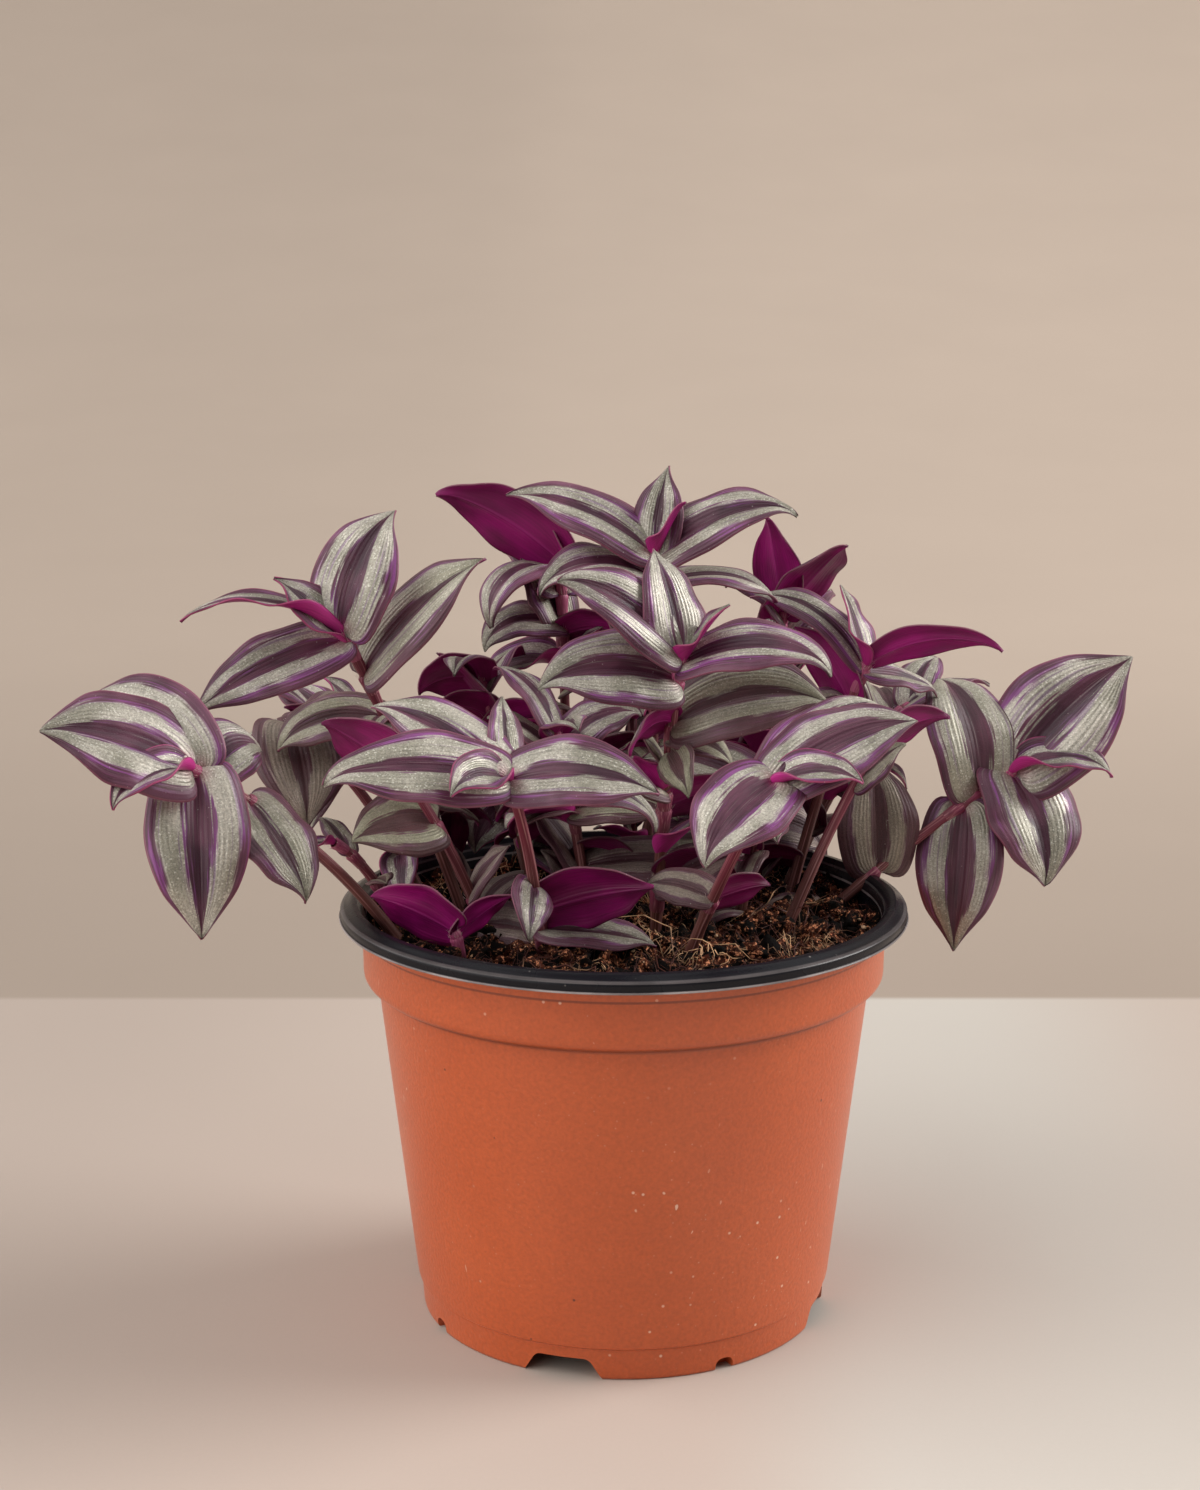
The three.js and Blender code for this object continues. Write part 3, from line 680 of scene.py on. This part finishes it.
# A young leaf: how tightly it is rolled, and how much that opens and differs between front and rear
ROLL_BEND = 3
ROLL_REACH = 1.15
ROLL_OPENS = 0.84
FRONT_ROLL = 1.25
REAR_ROLL = 0.45


def pattern_map(finish):
    """Where a point lies on a leaf or stem, from 0 to 1: along it, and then across or round it."""
    pattern = finish.node("ShaderNodeUVMap", {"uv_map": "along"}, {})
    split = finish.node("ShaderNodeSeparateXYZ", {}, {"Vector": pattern})
    return split.out("X"), split.out("Y")


def stored(finish, layer):
    """A value that the mesh of a leaf or stem holds: its seed, its age and painted shade, or its youth."""
    return finish.node("ShaderNodeAttribute", {"attribute_name": layer}, {}, "Fac")


leaf_upper = Finish("leaf_upper", Specular_IOR_Level=0.45)
along, around = pattern_map(leaf_upper)
across = abs(around * 2 - 1)
seed = stored(leaf_upper, "leaf_seed")
age_and_shade = stored(leaf_upper, "leaf_age_and_shade")
youth = stored(leaf_upper, "leaf_youth")
leaf_place = leaf_upper.place()
wander = leaf_upper.speckle(leaf_upper.point(along * 2.6, around * 2.4, seed * 31), 1, 2) - 0.5
drift = leaf_upper.speckle(leaf_upper.point(along * 3.4, around * 2.4, seed * 57 + 9), 1, 2) - 0.5
streaks = leaf_upper.speckle(leaf_upper.point(along * 3.2, around * 38, seed * 13), 1, 3) - 0.5
slivers = leaf_upper.speckle(leaf_upper.point(along * 2, around * 60, seed * 29), 1, 2) - 0.5
threads = leaf_upper.speckle(leaf_upper.point(along * 1.3, around * 24, seed * 71), 1, 1)
spangle = leaf_upper.cells(leaf_place, 3000, "Color")
spangle = leaf_upper.node("ShaderNodeSeparateColor", {}, {"Color": spangle}, "Red")

# The silver band of each half, between an inner edge at the midrib and an outer edge at the margin
to_tip = leaf_upper.step(along, 0.62, 0.98)
at_base = 1 - leaf_upper.step(along, 0.0, 0.25)
inner = (0.17 + (seed * 7.13).fraction() * 0.17 + wander * 0.42) * (1 - to_tip * 0.6) * (1 - at_base * 0.6)
inner = inner + streaks * 0.4
outer = 0.6 + (seed * 3.71).fraction() * 0.2 + drift * 0.4 + streaks * 0.5 + to_tip * 0.08 + at_base * 0.1
silver = leaf_upper.step(across - inner, -0.02, 0.05) * (1 - leaf_upper.step(across - outer, -0.03, 0.05))
patches = leaf_upper.step(drift + wander, -0.18, 0.18)
frost = leaf_upper.mix(patches, colour(146, 142, 128), colour(182, 176, 164))
# The spangle cells' brightness and the near-white of the brightest ones are painted glitter: painted glints.
frost = leaf_upper.shade(frost, 0.72 + spangle * 0.5 + streaks * 0.6 + slivers * 0.4)
frost = leaf_upper.mix(leaf_upper.step(spangle, 0.88, 1.0) * 0.5, frost, colour(228, 226, 216))
thread = leaf_upper.step(threads, 0.6, 0.68) * leaf_upper.step(along, 0.0, 0.2) * (1 - to_tip)
frost = leaf_upper.mix(thread * 0.6, frost, colour(118, 86, 122))

# The dark midrib and margins beside it, with fine pale slivers, and a violet blush where they meet it
rib = leaf_upper.mix(leaf_upper.step(wander, -0.1, 0.15), colour(60, 24, 42), colour(92, 48, 68))
margin = leaf_upper.mix(leaf_upper.step(drift, -0.12, 0.14), colour(80, 36, 58), colour(110, 64, 86))
dark = leaf_upper.mix(leaf_upper.step(across, 0.3, 0.45), rib, margin)
dark = leaf_upper.shade(dark, 1 + streaks * 1.3)
dark = leaf_upper.mix(leaf_upper.step(slivers, 0.08, 0.26) * 0.45, dark, colour(150, 138, 134))
face = leaf_upper.mix(silver, dark, frost)
violet_outer = 1 - leaf_upper.step(abs(across - outer - 0.04), 0.0, 0.13)
violet_inner = 1 - leaf_upper.step(abs(across - inner + 0.01), 0.0, 0.07)
violet = violet_outer * leaf_upper.step(streaks + wander, -0.1, 0.08)
violet = violet + violet_inner * leaf_upper.step(drift + slivers, -0.02, 0.18) * 0.8
face = leaf_upper.mix(violet * 0.85 * (1 - to_tip), face, colour(132, 64, 132))

# The thin edge, the magenta heart of the leaf, the duller, darker colours of leaves low on the stem, which
# are partly their age and partly painted shade, and motes of dust
# The thin edge is lighter: partly the leaf's own pinker edge, partly a painted highlight where light catches
# it.
edge = leaf_upper.step(across, 0.955, 0.985)
face = leaf_upper.mix(edge * 0.5, face, leaf_upper.mix(youth, colour(146, 96, 108), colour(190, 66, 122)))
heart = (1 - leaf_upper.step(along, 0.0, 0.14)) * (1 - leaf_upper.step(across, 0.1, 0.8))
face = leaf_upper.mix(heart * (0.3 + youth * 0.6), face, colour(160, 22, 96))
# Leaves low on the stem turn olive and then greyer and darker: partly the colours of old leaves, partly
# painted shade deep in the bush.
olive = leaf_upper.mix(silver, colour(92, 66, 62), colour(146, 144, 118))
faded_and_shaded = leaf_upper.mix(silver, colour(84, 52, 56), colour(128, 108, 102))
aged_and_shaded = leaf_upper.mix(leaf_upper.step(age_and_shade, 1.0, 1.6), olive, faded_and_shaded)
aged_and_shaded = leaf_upper.shade(aged_and_shaded, 0.8 + spangle * 0.3 + streaks)
face = leaf_upper.mix(leaf_upper.step(age_and_shade, 0.0, 1.2) * 0.8, face, aged_and_shaded)
motes = 1 - leaf_upper.step(leaf_upper.cells(leaf_place, 420), 0.04, 0.09)
face = leaf_upper.mix(motes * 0.35, face, colour(206, 198, 194))
leaf_upper.wear(
    Base_Color=leaf_upper.shade(face, 0.9 + (seed * 5.3).fraction() * 0.2),
    Roughness=0.42 - silver * 0.08 + spangle * 0.1,
    Metallic=silver * 0.3,
)
leaf_upper.bump((around * VEINS).sine() * 0.25 + spangle * 0.6 + streaks * 0.8, 0.00015)

leaf_under = Finish("leaf_under", Specular_IOR_Level=0.4)
along, around = pattern_map(leaf_under)
across = abs(around * 2 - 1)
seed = stored(leaf_under, "leaf_seed")
age_and_shade = stored(leaf_under, "leaf_age_and_shade")
youth = stored(leaf_under, "leaf_youth")
streaks = leaf_under.speckle(leaf_under.point(along * 3, around * 40, seed * 21), 1, 2) - 0.5
cloud = leaf_under.speckle(leaf_under.point(along * 2, around * 2, seed * 43), 1, 2) - 0.5
opening = 1 - leaf_under.step(along, 0.15, 0.6)
rib_line = 1 - leaf_under.step(across, 0.0, 0.05)
magenta = leaf_under.mix(leaf_under.step(cloud, -0.15, 0.15), colour(106, 3, 72), colour(150, 8, 108))
magenta = leaf_under.mix((0.3 + opening * 0.6) * youth, magenta, colour(182, 44, 128))
magenta = leaf_under.shade(magenta, 1.0 + streaks * 0.6)
magenta = leaf_under.mix(rib_line * 0.3, magenta, colour(186, 60, 150))
# Older leaves low on the stem are darker underneath: partly age, partly painted shade deep in the bush.
magenta = leaf_under.mix(leaf_under.step(age_and_shade, 0.0, 1.3) * 0.6, magenta, colour(84, 10, 44))
magenta = leaf_under.mix(leaf_under.step(across, 0.93, 1.0) * 0.6, magenta, colour(92, 18, 48))
leaf_under.wear(Base_Color=magenta, Roughness=0.42 + streaks * 0.2)
leaf_under.bump((around * VEINS).sine() * 0.15 + rib_line + streaks * 0.4, 0.0001)

stem_skin = Finish("stem_skin", Specular_IOR_Level=0.45)
along, around = pattern_map(stem_skin)
seed = stored(stem_skin, "leaf_seed")
youth = stored(stem_skin, "leaf_youth")
lines = stem_skin.speckle(stem_skin.point(along * 2, around * 22, seed * 17), 1, 3)
skin = stem_skin.mix(stem_skin.step(along, 0.25, 0.7), colour(102, 58, 50), colour(118, 44, 62))
skin = stem_skin.mix(stem_skin.step(lines, 0.5, 0.72), skin, colour(182, 130, 130))
skin = stem_skin.mix(stem_skin.step(0.5 - lines, 0.05, 0.25) * 0.7, skin, colour(74, 18, 42))
skin = stem_skin.mix(youth * 0.75, skin, stem_skin.mix(lines, colour(154, 20, 98), colour(212, 122, 156)))
stem_skin.wear(Base_Color=skin, Roughness=0.4 + lines * 0.2)
stem_skin.bump(lines, 0.0003)

hair = Finish("leaf_hair", Roughness=0.5, Specular_IOR_Level=0.4)
hair_tone = hair.speckle(hair.place(), 200)
hair.wear(Base_Color=hair.mix(hair_tone, colour(196, 176, 170), colour(226, 212, 204)))


def smooth(value):
    """0 below 0, 1 above 1 and smooth between them."""
    share = min(1, max(0, value))
    return share * share * (3 - 2 * share)


def outline_at(u):
    """Half the width of a leaf at u, as a share of its widest: broad low down, with a long tip."""
    peak = OUTLINE_RISE / (OUTLINE_RISE + OUTLINE_FALL)
    return (u / peak) ** OUTLINE_RISE * ((1 - u) / (1 - peak)) ** OUTLINE_FALL


def midrib_direction(heading, rise, droop, u):
    """The direction of a leaf's midrib at u."""
    elevation = math.radians(rise - droop * u ** CURL)
    azimuth = math.radians(heading)
    flat = math.cos(elevation)
    return Vector((flat * math.cos(azimuth), flat * math.sin(azimuth), math.sin(elevation)))


def across_leaf(u, v, half, fold, front):
    """How far out and how far up a point of a leaf's cross-section lies, at v from margin to margin. A young
    leaf is rolled up at its base, its front margin more than the other, and opens towards its tip."""
    if not fold:
        return v * half, half * (HALF_LIFT * abs(v) - HALF_ARCH * v * v)
    closed = 1 - ROLL_OPENS * smooth((u - 0.06) / 0.46)
    bend = ROLL_BEND * fold * closed * (FRONT_ROLL if v * front > 0 else REAR_ROLL)
    reach = ROLL_REACH * half / bend
    return reach * math.sin(bend * v), reach * (1 - math.cos(bend * v))


def leaf_blade(bm, draw, base, heading, rise, length, width, droop, roll, fold=0):
    """One leaf blade: a grid bent along its midrib. A grown leaf has two arched halves, a heart-shaped base
    and a drawn-out tip, and a young one with a fold is rolled up to that share of its width."""
    across = Vector((-math.sin(math.radians(heading)), math.cos(math.radians(heading)), 0))
    twist = draw.uniform(-9, 9)
    sway = draw.uniform(-9, 9)
    hook = draw.uniform(-6, 34)
    taper = draw.uniform(0.25, 0.65)
    waves = [(draw.uniform(1.2, 2.8), draw.uniform(0, FULL_TURN)) for _ in range(2)]
    ripple = min(0.7, length / 50) * MM
    steps, columns = LARGE_GRID if length > LARGE_LEAF else SMALL_GRID
    stations = []
    point = base.copy()
    for step in range(steps + 1):
        u = step / steps
        bent = droop + hook * max(0, u - 0.8) / 0.2
        along = midrib_direction(heading + sway * (2 * u - 1), rise, bent, u)
        up = along.cross(across)
        turn = math.radians(roll + twist * (u - 0.3))
        side = across * math.cos(turn) + up * math.sin(turn)
        normal = up * math.cos(turn) - across * math.sin(turn)
        least = NECK_HALF if u < 0.5 else TIP_HALF
        half = width / 2 * MM * outline_at(min(u, 0.9999)) * (1 - taper * smooth((u - 0.7) / 0.3) * 0.8)
        stations.append((point.copy(), along, side, normal, max(half, least)))
        point += along * length * MM / steps
    made = bmesh.ops.create_grid(bm, x_segments=steps, y_segments=columns, size=1, calc_uvs=True)["verts"]
    seed_layer = bm.verts.layers.float["leaf_seed"]
    seed = draw.random()
    for vert in made:
        u = (vert.co.x + 1) / 2
        v = vert.co.y
        point, along, side, normal, half = stations[round(u * steps)]
        speed, phase = waves[v > 0]
        wave = ripple * abs(v) ** 2.5 * math.sin(phase + FULL_TURN * speed * u) * min(1, 4 * u)
        crease = -CREASE_DEPTH * math.exp(-((v * half / CREASE_HALF) ** 2))
        out, up = across_leaf(u, v, half, fold, -across.y)
        back = 0 if fold else LOBE * half * abs(v) ** 1.5 * (1 - smooth(u / 0.3))
        vert.co = point - along * back + side * out + normal * (up + wave + crease)
        vert[seed_layer] = seed
    return made


def along_stem(root, middle, tip, t):
    """A point of a stem's middle line at t from its buried root to its tip, in metres."""
    start = Vector((*root, ROOT_HEIGHT / MM))
    curve = start * (1 - t) ** 2 + Vector(middle) * 2 * t * (1 - t) + Vector(tip) * t * t
    return curve * MM


def small_leaves(draw, count):
    """Rows for the small leaves inside the bush: some hang and show their stripes, some stand and show
    their undersides, and one in three is still rolled."""
    rows = []
    for order in range(count):
        length = draw.uniform(16, 27)
        stands = draw.random() < 0.5
        rise = draw.uniform(35, 80) if stands else draw.uniform(-5, 35)
        droop = draw.uniform(0, 50) if stands else draw.uniform(45, 100)
        rolled = [draw.uniform(0.5, 0.9)] if draw.random() < 0.33 else []
        at = 0.2 + 0.62 * (order + draw.random()) / count
        heading = 270 + draw.uniform(-115, 115)
        width = draw.uniform(0.5, 0.66) * length
        roll = draw.uniform(-55, 55)
        rows.append((at, heading, rise, length, width, droop, roll, *rolled))
    return rows


def add_leaves(name, draw, spine, rows, extra_age_and_shade):
    """The leaves of one stem as one piece: thin blades, striped above and magenta below. The extra age and
    shade makes them duller and darker: partly age, partly painted shade.
    """
    bm = bmesh.new()
    bm.loops.layers.uv.new("along")
    for layer in ("leaf_seed", "leaf_age_and_shade", "leaf_youth"):
        bm.verts.layers.float.new(layer)
    age_and_shade_layer = bm.verts.layers.float["leaf_age_and_shade"]
    youth_layer = bm.verts.layers.float["leaf_youth"]
    for at, heading, rise, *shape in rows:
        made = leaf_blade(bm, draw, spine(at), heading, rise, *shape)
        rolled = len(shape) > 4
        # A leaf's age and painted shade grow down the stem and with the stem's extra amount; rolled young
        # leaves get none.
        age_and_shade = 0 if rolled else max(0, extra_age_and_shade + (0.96 - at) * AGE_AND_SHADE_STEP + draw.uniform(-0.1, 0.2))
        for vert in made:
            vert[age_and_shade_layer] = age_and_shade
            vert[youth_layer] = 1.0 if rolled else 0.25
    blades = add_piece(name + "_leaves", bm, leaf_upper, leaf_under)
    thicken = blades.modifiers.new("blade", "SOLIDIFY")
    thicken.thickness = BLADE
    thicken.offset = 0
    thicken.material_offset = 1
    thicken.material_offset_rim = 0
    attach(blades, "root")
    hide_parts(name)


def sheath(bm, draw, spine, start, node, wide):
    """The short sheath that clasps the stem under a leaf, with a ring of bristles at its mouth."""
    def path(t):
        return spine(start + (node - start) * t)

    def radius(t):
        return wide * (0.86 + 0.2 * t ** 2) if 0.02 < t < 0.98 else wide * 0.7

    tube(bm, path, radius, rings=8, sides=14)
    mouth = path(1.0)
    ahead = (path(1.0) - path(0.8)).normalized()
    side = ahead.orthogonal().normalized()
    for bristle in range(BRISTLES):
        turn = Matrix.Rotation(2 * math.pi * (bristle + draw.random()) / BRISTLES, 3, ahead)
        foot = mouth + turn @ side * wide
        lean = ahead * draw.uniform(0.6, 1.2) + turn @ side * draw.uniform(0.1, 0.6)
        lean = lean * draw.uniform(0.9, 1.8) * MM
        tube(bm, lambda t: foot + lean * t, lambda t: BRISTLE_RADIUS * (1.05 - t), 2, 3, finish=1)


def add_stem(name, draw, spine, nodes, reach):
    """The stem as one piece, swollen a little under each of its nodes and with a sheath at each."""
    bm = bmesh.new()
    bm.loops.layers.uv.new("along")
    for layer in ("leaf_seed", "leaf_youth"):
        bm.verts.layers.float.new(layer)
    seed_layer = bm.verts.layers.float["leaf_seed"]
    youth_layer = bm.verts.layers.float["leaf_youth"]

    def radius(t):
        swell = sum(math.exp(-(((t - node + 0.06) / 0.03) ** 2)) for node in nodes)
        return STEM_RADIUS * (1.0 - 0.25 * t) * (1 + 0.25 * min(1, swell))

    tube(bm, spine, radius, rings=40, sides=12)
    seed = draw.random()
    for vert in bm.verts:
        vert[seed_layer] = seed
    done = set(bm.verts)
    for order, node in enumerate(reversed(nodes)):
        start = max(0, node - SHEATH_LENGTH / reach)
        sheath(bm, draw, spine, start, node, wide=STEM_RADIUS * (1.02 + 0.05 * order))
        for vert in set(bm.verts) - done:
            vert[seed_layer] = seed + 0.37 * order
            vert[youth_layer] = 0.85 if node > 0.85 else 0.3
        done = set(bm.verts)
    stem = add_piece(name + "_stem", bm, stem_skin, hair)
    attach(stem, "root")


def leafy_stem(name, root, middle, tip, leaves, inside=3, extra_age_and_shade=0):
    """One trailing stem: its leaves, with some small ones inside the bush, and the stem that bears them.
    A root is x and y, and middle and tip are x, y and z, in millimetres. A leaf is its place on the stem
    from root to tip, its heading, rise, length, width, droop and roll, in millimetres and degrees, and for
    a young leaf how far it is rolled up. A heading of 0 is to the right, and one of 270 to the front."""
    draw = random.Random(name)

    def spine(t):
        return along_stem(root, middle, tip, t)

    add_leaves(name, draw, spine, leaves + small_leaves(draw, inside), extra_age_and_shade)
    reach = (Vector(tip) - Vector((*root, ROOT_HEIGHT / MM))).length * MM
    add_stem(name, draw, spine, sorted({leaf[0] for leaf in leaves}), reach)


leafy_stem(
    "shoot_far_left", root=(-52, -14), middle=(-74, -26, 134), tip=(-104, -55, 158),
    leaves=[
        (1, 200, 31, 37, 29, 28, -42),
        (0.97, 150, 44, 41, 24, 62, -56),
        (0.98, 281, -54, 41, 25, 40, 0),
        (0.99, 226, 20, 27, 11, 78, -28, 0.8),
        (0.95, 50, 52, 22, 20, 105, 30),
        (0.8, 322, -34, 31, 24, 30, 0),
    ],
    inside=0,
)
leafy_stem(
    "shoot_left", root=(-40, 10), middle=(-56, 4, 148), tip=(-72, -10, 184),
    leaves=[
        (1, 36, 78, 35, 25, 40, 28),
        (0.84, 350, 54, 45, 24, 24, 44),
        (0.97, 203, -14, 43, 19, 18, -45),
        (0.98, 190, 38, 45, 11, 72, -10, 0.72),
        (0.96, 196, 48, 25, 13, 10, -50, 0.5),
        (0.68, 190, 14, 31, 21, 65, -25),
    ],
)
leafy_stem(
    "shoot_top", root=(5, 25), middle=(10, 28, 150), tip=(8, 20, 200),
    leaves=[
        (1, 177, 38, 43, 20, 38, -35),
        (0.98, 0, 44, 43, 20, 58, 35),
        (0.97, 60, 80, 27, 15, 15, 5),
        (0.93, 204, 29, 37, 19, 75, -25),
        (0.91, 9, 18, 36, 18, 60, 10),
        (0.98, 330, 66, 19, 9, 10, 20, 0.9),
    ],
    inside=10,
)
leafy_stem(
    "shoot_centre", root=(8, -4), middle=(10, -18, 150), tip=(14, -25, 180),
    leaves=[
        (1, 190, 50, 38, 20, 38, -45),
        (0.98, 120, 76, 30, 19, 30, 5),
        (0.96, 345, 28, 42, 20, 65, 30),
        (0.94, 335, 60, 22, 11, 15, 25, 0.9),
        (0.9, 199, 20, 38, 23, 45, -50),
        (0.73, 354, 30, 42, 25, 50, 45),
        (0.5, 200, 35, 27, 15, 70, -30),
        (0.22, 352, 30, 24, 17, 20, 35),
        (0.45, 20, 25, 22, 13, 40, -60),
    ],
    inside=7,
)
leafy_stem(
    "shoot_front_left", root=(-20, -20), middle=(-23, -40, 138), tip=(-28, -66, 158),
    leaves=[
        (1, 190, 14, 44, 22, 28, -40),
        (0.98, 350, 16, 37, 22, 45, 38),
        (0.93, 10, 10, 41, 20, 65, 20),
        (0.96, 160, 42, 40, 20, 40, -25),
        (0.97, 234, 32, 23, 11, 72, -40, 0.8),
        (0.95, 97, 53, 26, 10, 20, 20),
        (0.27, 347, 20, 31, 19, 12, -65),
        (0.2, 352, 0, 30, 15, 12, 20),
    ],
    inside=1,
    extra_age_and_shade=-1.5,
)
leafy_stem(
    "shoot_front_right", root=(14, -22), middle=(22, -40, 126), tip=(35, -64, 157),
    leaves=[
        (1, 222, -16, 30, 24, 44, -22),
        (0.98, 13, 36, 39, 22, 35, 38),
        (0.94, 38, 48, 42, 20, 50, 15),
        (0.97, 338, 36, 24, 11, 70, 35, 0.8),
        (0.43, 150, 20, 20, 12, 40, -35),
        (0.43, 30, 14, 17, 11, 20, -65),
    ],
    inside=0,
)
leafy_stem(
    "shoot_far_right", root=(47, 16), middle=(74, 22, 119), tip=(108.6, 35, 138),
    leaves=[
        (1, 8, 50, 45, 33, 15, 56),
        (0.85, 112, 87, 43, 28, 95, 0),
        (0.98, 301, -42, 34, 30, 45, 4),
        (0.98, 344, 36, 31, 12, 80, 35, 0.8),
        (0.78, 254, -56, 41, 24, 30, 0),
        (0.4, 104, 88, 31, 23, 25, -5),
        (0.18, 192, 14, 21, 12, 26, -20),
    ],
    inside=0,
)
leafy_stem(
    "shoot_right", root=(44, 28), middle=(54, 26, 140), tip=(66, 25, 170),
    leaves=[
        (1, 340, 32, 39, 11, 55, -55),
        (0.98, 160, 76, 23, 13, 10, -10, 0.6),
        (0.97, 162, 60, 40, 13, 72, -30),
        (0.95, 30, -6, 28, 16, 25, 20),
        (0.82, 160, 62, 26, 14, 20, 75),
    ],
)
leafy_stem(
    "shoot_back_left", root=(-14, 40), middle=(-16, 44, 150), tip=(-17, 45, 195),
    leaves=[
        (1, 187, 43, 40, 20, 30, 60),
        (0.96, 220, 22, 34, 20, 120, 0),
        (0.9, 120, 40, 36, 20, 60, 0),
        (0.98, 150, 60, 22, 12, 20, 60),
        (0.8, 200, 25, 27, 15, 90, -30),
        (0.78, 335, 20, 24, 14, 50, -50),
    ],
    inside=10,
)
leafy_stem(
    "shoot_back_right", root=(34, 42), middle=(40, 48, 145), tip=(45, 50, 180),
    leaves=[
        (1, 322, 50, 29, 26, 10, -5),
        (0.98, 230, 78, 30, 17, 5, 0),
        (0.96, 195, 55, 21, 14, 50, -20),
        (0.9, 60, 40, 36, 20, 60, 0),
        (0.82, 110, 25, 34, 20, 60, 10),
    ],
    inside=9,
)
leafy_stem(
    "shoot_low_left", root=(-33, -8), middle=(-42, -12, 126), tip=(-56, -17, 148),
    leaves=[
        (1, 182, 40, 25, 18, 12, 62),
        (0.72, 206, 5, 23, 22, 25, -38),
        (0.98, 60, 40, 26, 15, 60, 0),
        (0.34, 330, 58, 19, 14, 15, 40),
    ],
    inside=1,
    extra_age_and_shade=0.3,
)
leafy_stem(
    "shoot_hanging_left", root=(-50, 20), middle=(-66, 13, 140), tip=(-88, 4, 157),
    leaves=[
        (1, 290, -38, 30, 24, 35, 0),
        (0.9, 92, 20, 30, 18, 60, 0),
        (0.85, 75, 45, 28, 16, 60, 0),
    ],
    inside=2,
    extra_age_and_shade=1.4,
)
leafy_stem(
    "shoot_small_left", root=(-55, 1), middle=(-66, -3, 122), tip=(-75, -12, 129),
    leaves=[
        (1, 225, 10, 13, 7, 30, 0, 0.7),
        (0.8, 130, 45, 16, 8, 40, 0),
        (0.5, 290, 20, 13, 7, 20, 20),
    ],
    inside=0,
)
leafy_stem(
    "shoot_low_front", root=(-40, -30), middle=(-41, -31, 104), tip=(-43, -31, 111),
    leaves=[
        (1, 172, 30, 23, 18, 20, 62),
        (0.9, 15, 42, 18, 9, 20, -60),
    ],
    inside=0,
    extra_age_and_shade=-0.5,
)
leafy_stem(
    "shoot_inner_left", root=(-22, 22), middle=(-30, 24, 138), tip=(-39, 24, 166),
    leaves=[
        (1, 190, 12, 18, 14, 60, 70),
        (0.98, 250, 60, 22, 13, 110, 10),
        (0.92, 60, 50, 24, 13, 70, -30),
        (0.82, 215, 35, 24, 14, 90, 45),
        (0.74, 325, 40, 25, 15, 60, -45),
        (0.5, 200, 30, 24, 14, 60, -20),
        (0.45, 20, 25, 26, 15, 50, 35),
    ],
    inside=7,
)
leafy_stem(
    "shoot_inner_middle", root=(-8, 4), middle=(-12, 2, 132), tip=(-18, 0, 156),
    leaves=[
        (1, 150, 65, 26, 14, 60, 0),
        (0.98, 290, 40, 20, 12, 60, 10),
        (0.9, 20, 45, 26, 15, 60, 30),
        (0.6, 345, 20, 30, 16, 50, 35),
        (0.35, 350, 12, 42, 20, 34, 28),
    ],
    inside=7,
)
leafy_stem(
    "shoot_inner_right", root=(30, 4), middle=(33, 2, 126), tip=(40, 0, 142),
    leaves=[
        (1, 15, 45, 22, 13, 90, -20),
        (0.9, 172, 32, 36, 19, 40, -35),
        (0.7, 280, 10, 18, 10, 30, 0),
        (0.5, 170, 26, 26, 16, 50, -45),
    ],
    inside=7,
)
leafy_stem(
    "shoot_hanging_right", root=(40, -1), middle=(54, 4, 130), tip=(66, 4, 150),
    leaves=[
        (1, 20, 40, 24, 14, 50, -55),
        (0.95, 150, 45, 26, 14, 60, 0),
        (1, 80, -60, 11, 8, 10, 0),
    ],
    inside=1,
)


def rear_leaves(heading, count):
    """The leaves of a stem on the far side: they alternate and grow larger and lower down the stem."""
    rows = []
    for order in range(count):
        side = -1 if order % 2 else 1
        length = min(24 + 4 * order, 40)
        rows.append((
            1 - 0.06 * order, heading + side * (16 + 17 * order), 50 - 13 * order,
            length, 0.56 * length, 50 + 3 * order, side * 5 * order,
        ))
    return rows


for name, root, middle, tip, heading, count in [
    ("shoot_rear_far_left", (-38, 30), (-58, 42, 140), (-86, 48, 150), 165, 5),
    ("shoot_rear_left", (-24, 44), (-34, 58, 134), (-40, 64, 138), 90, 5),
    ("shoot_rear_middle", (3, 46), (3, 52, 144), (3, 62, 168), 90, 4),
    ("shoot_rear_right", (20, 46), (30, 56, 138), (38, 64, 140), 80, 5),
    ("shoot_rear_far_right", (42, 33), (62, 46, 146), (82, 56, 152), 45, 4),
]:
    leafy_stem(name, root, middle, tip, rear_leaves(heading, count), inside=12)
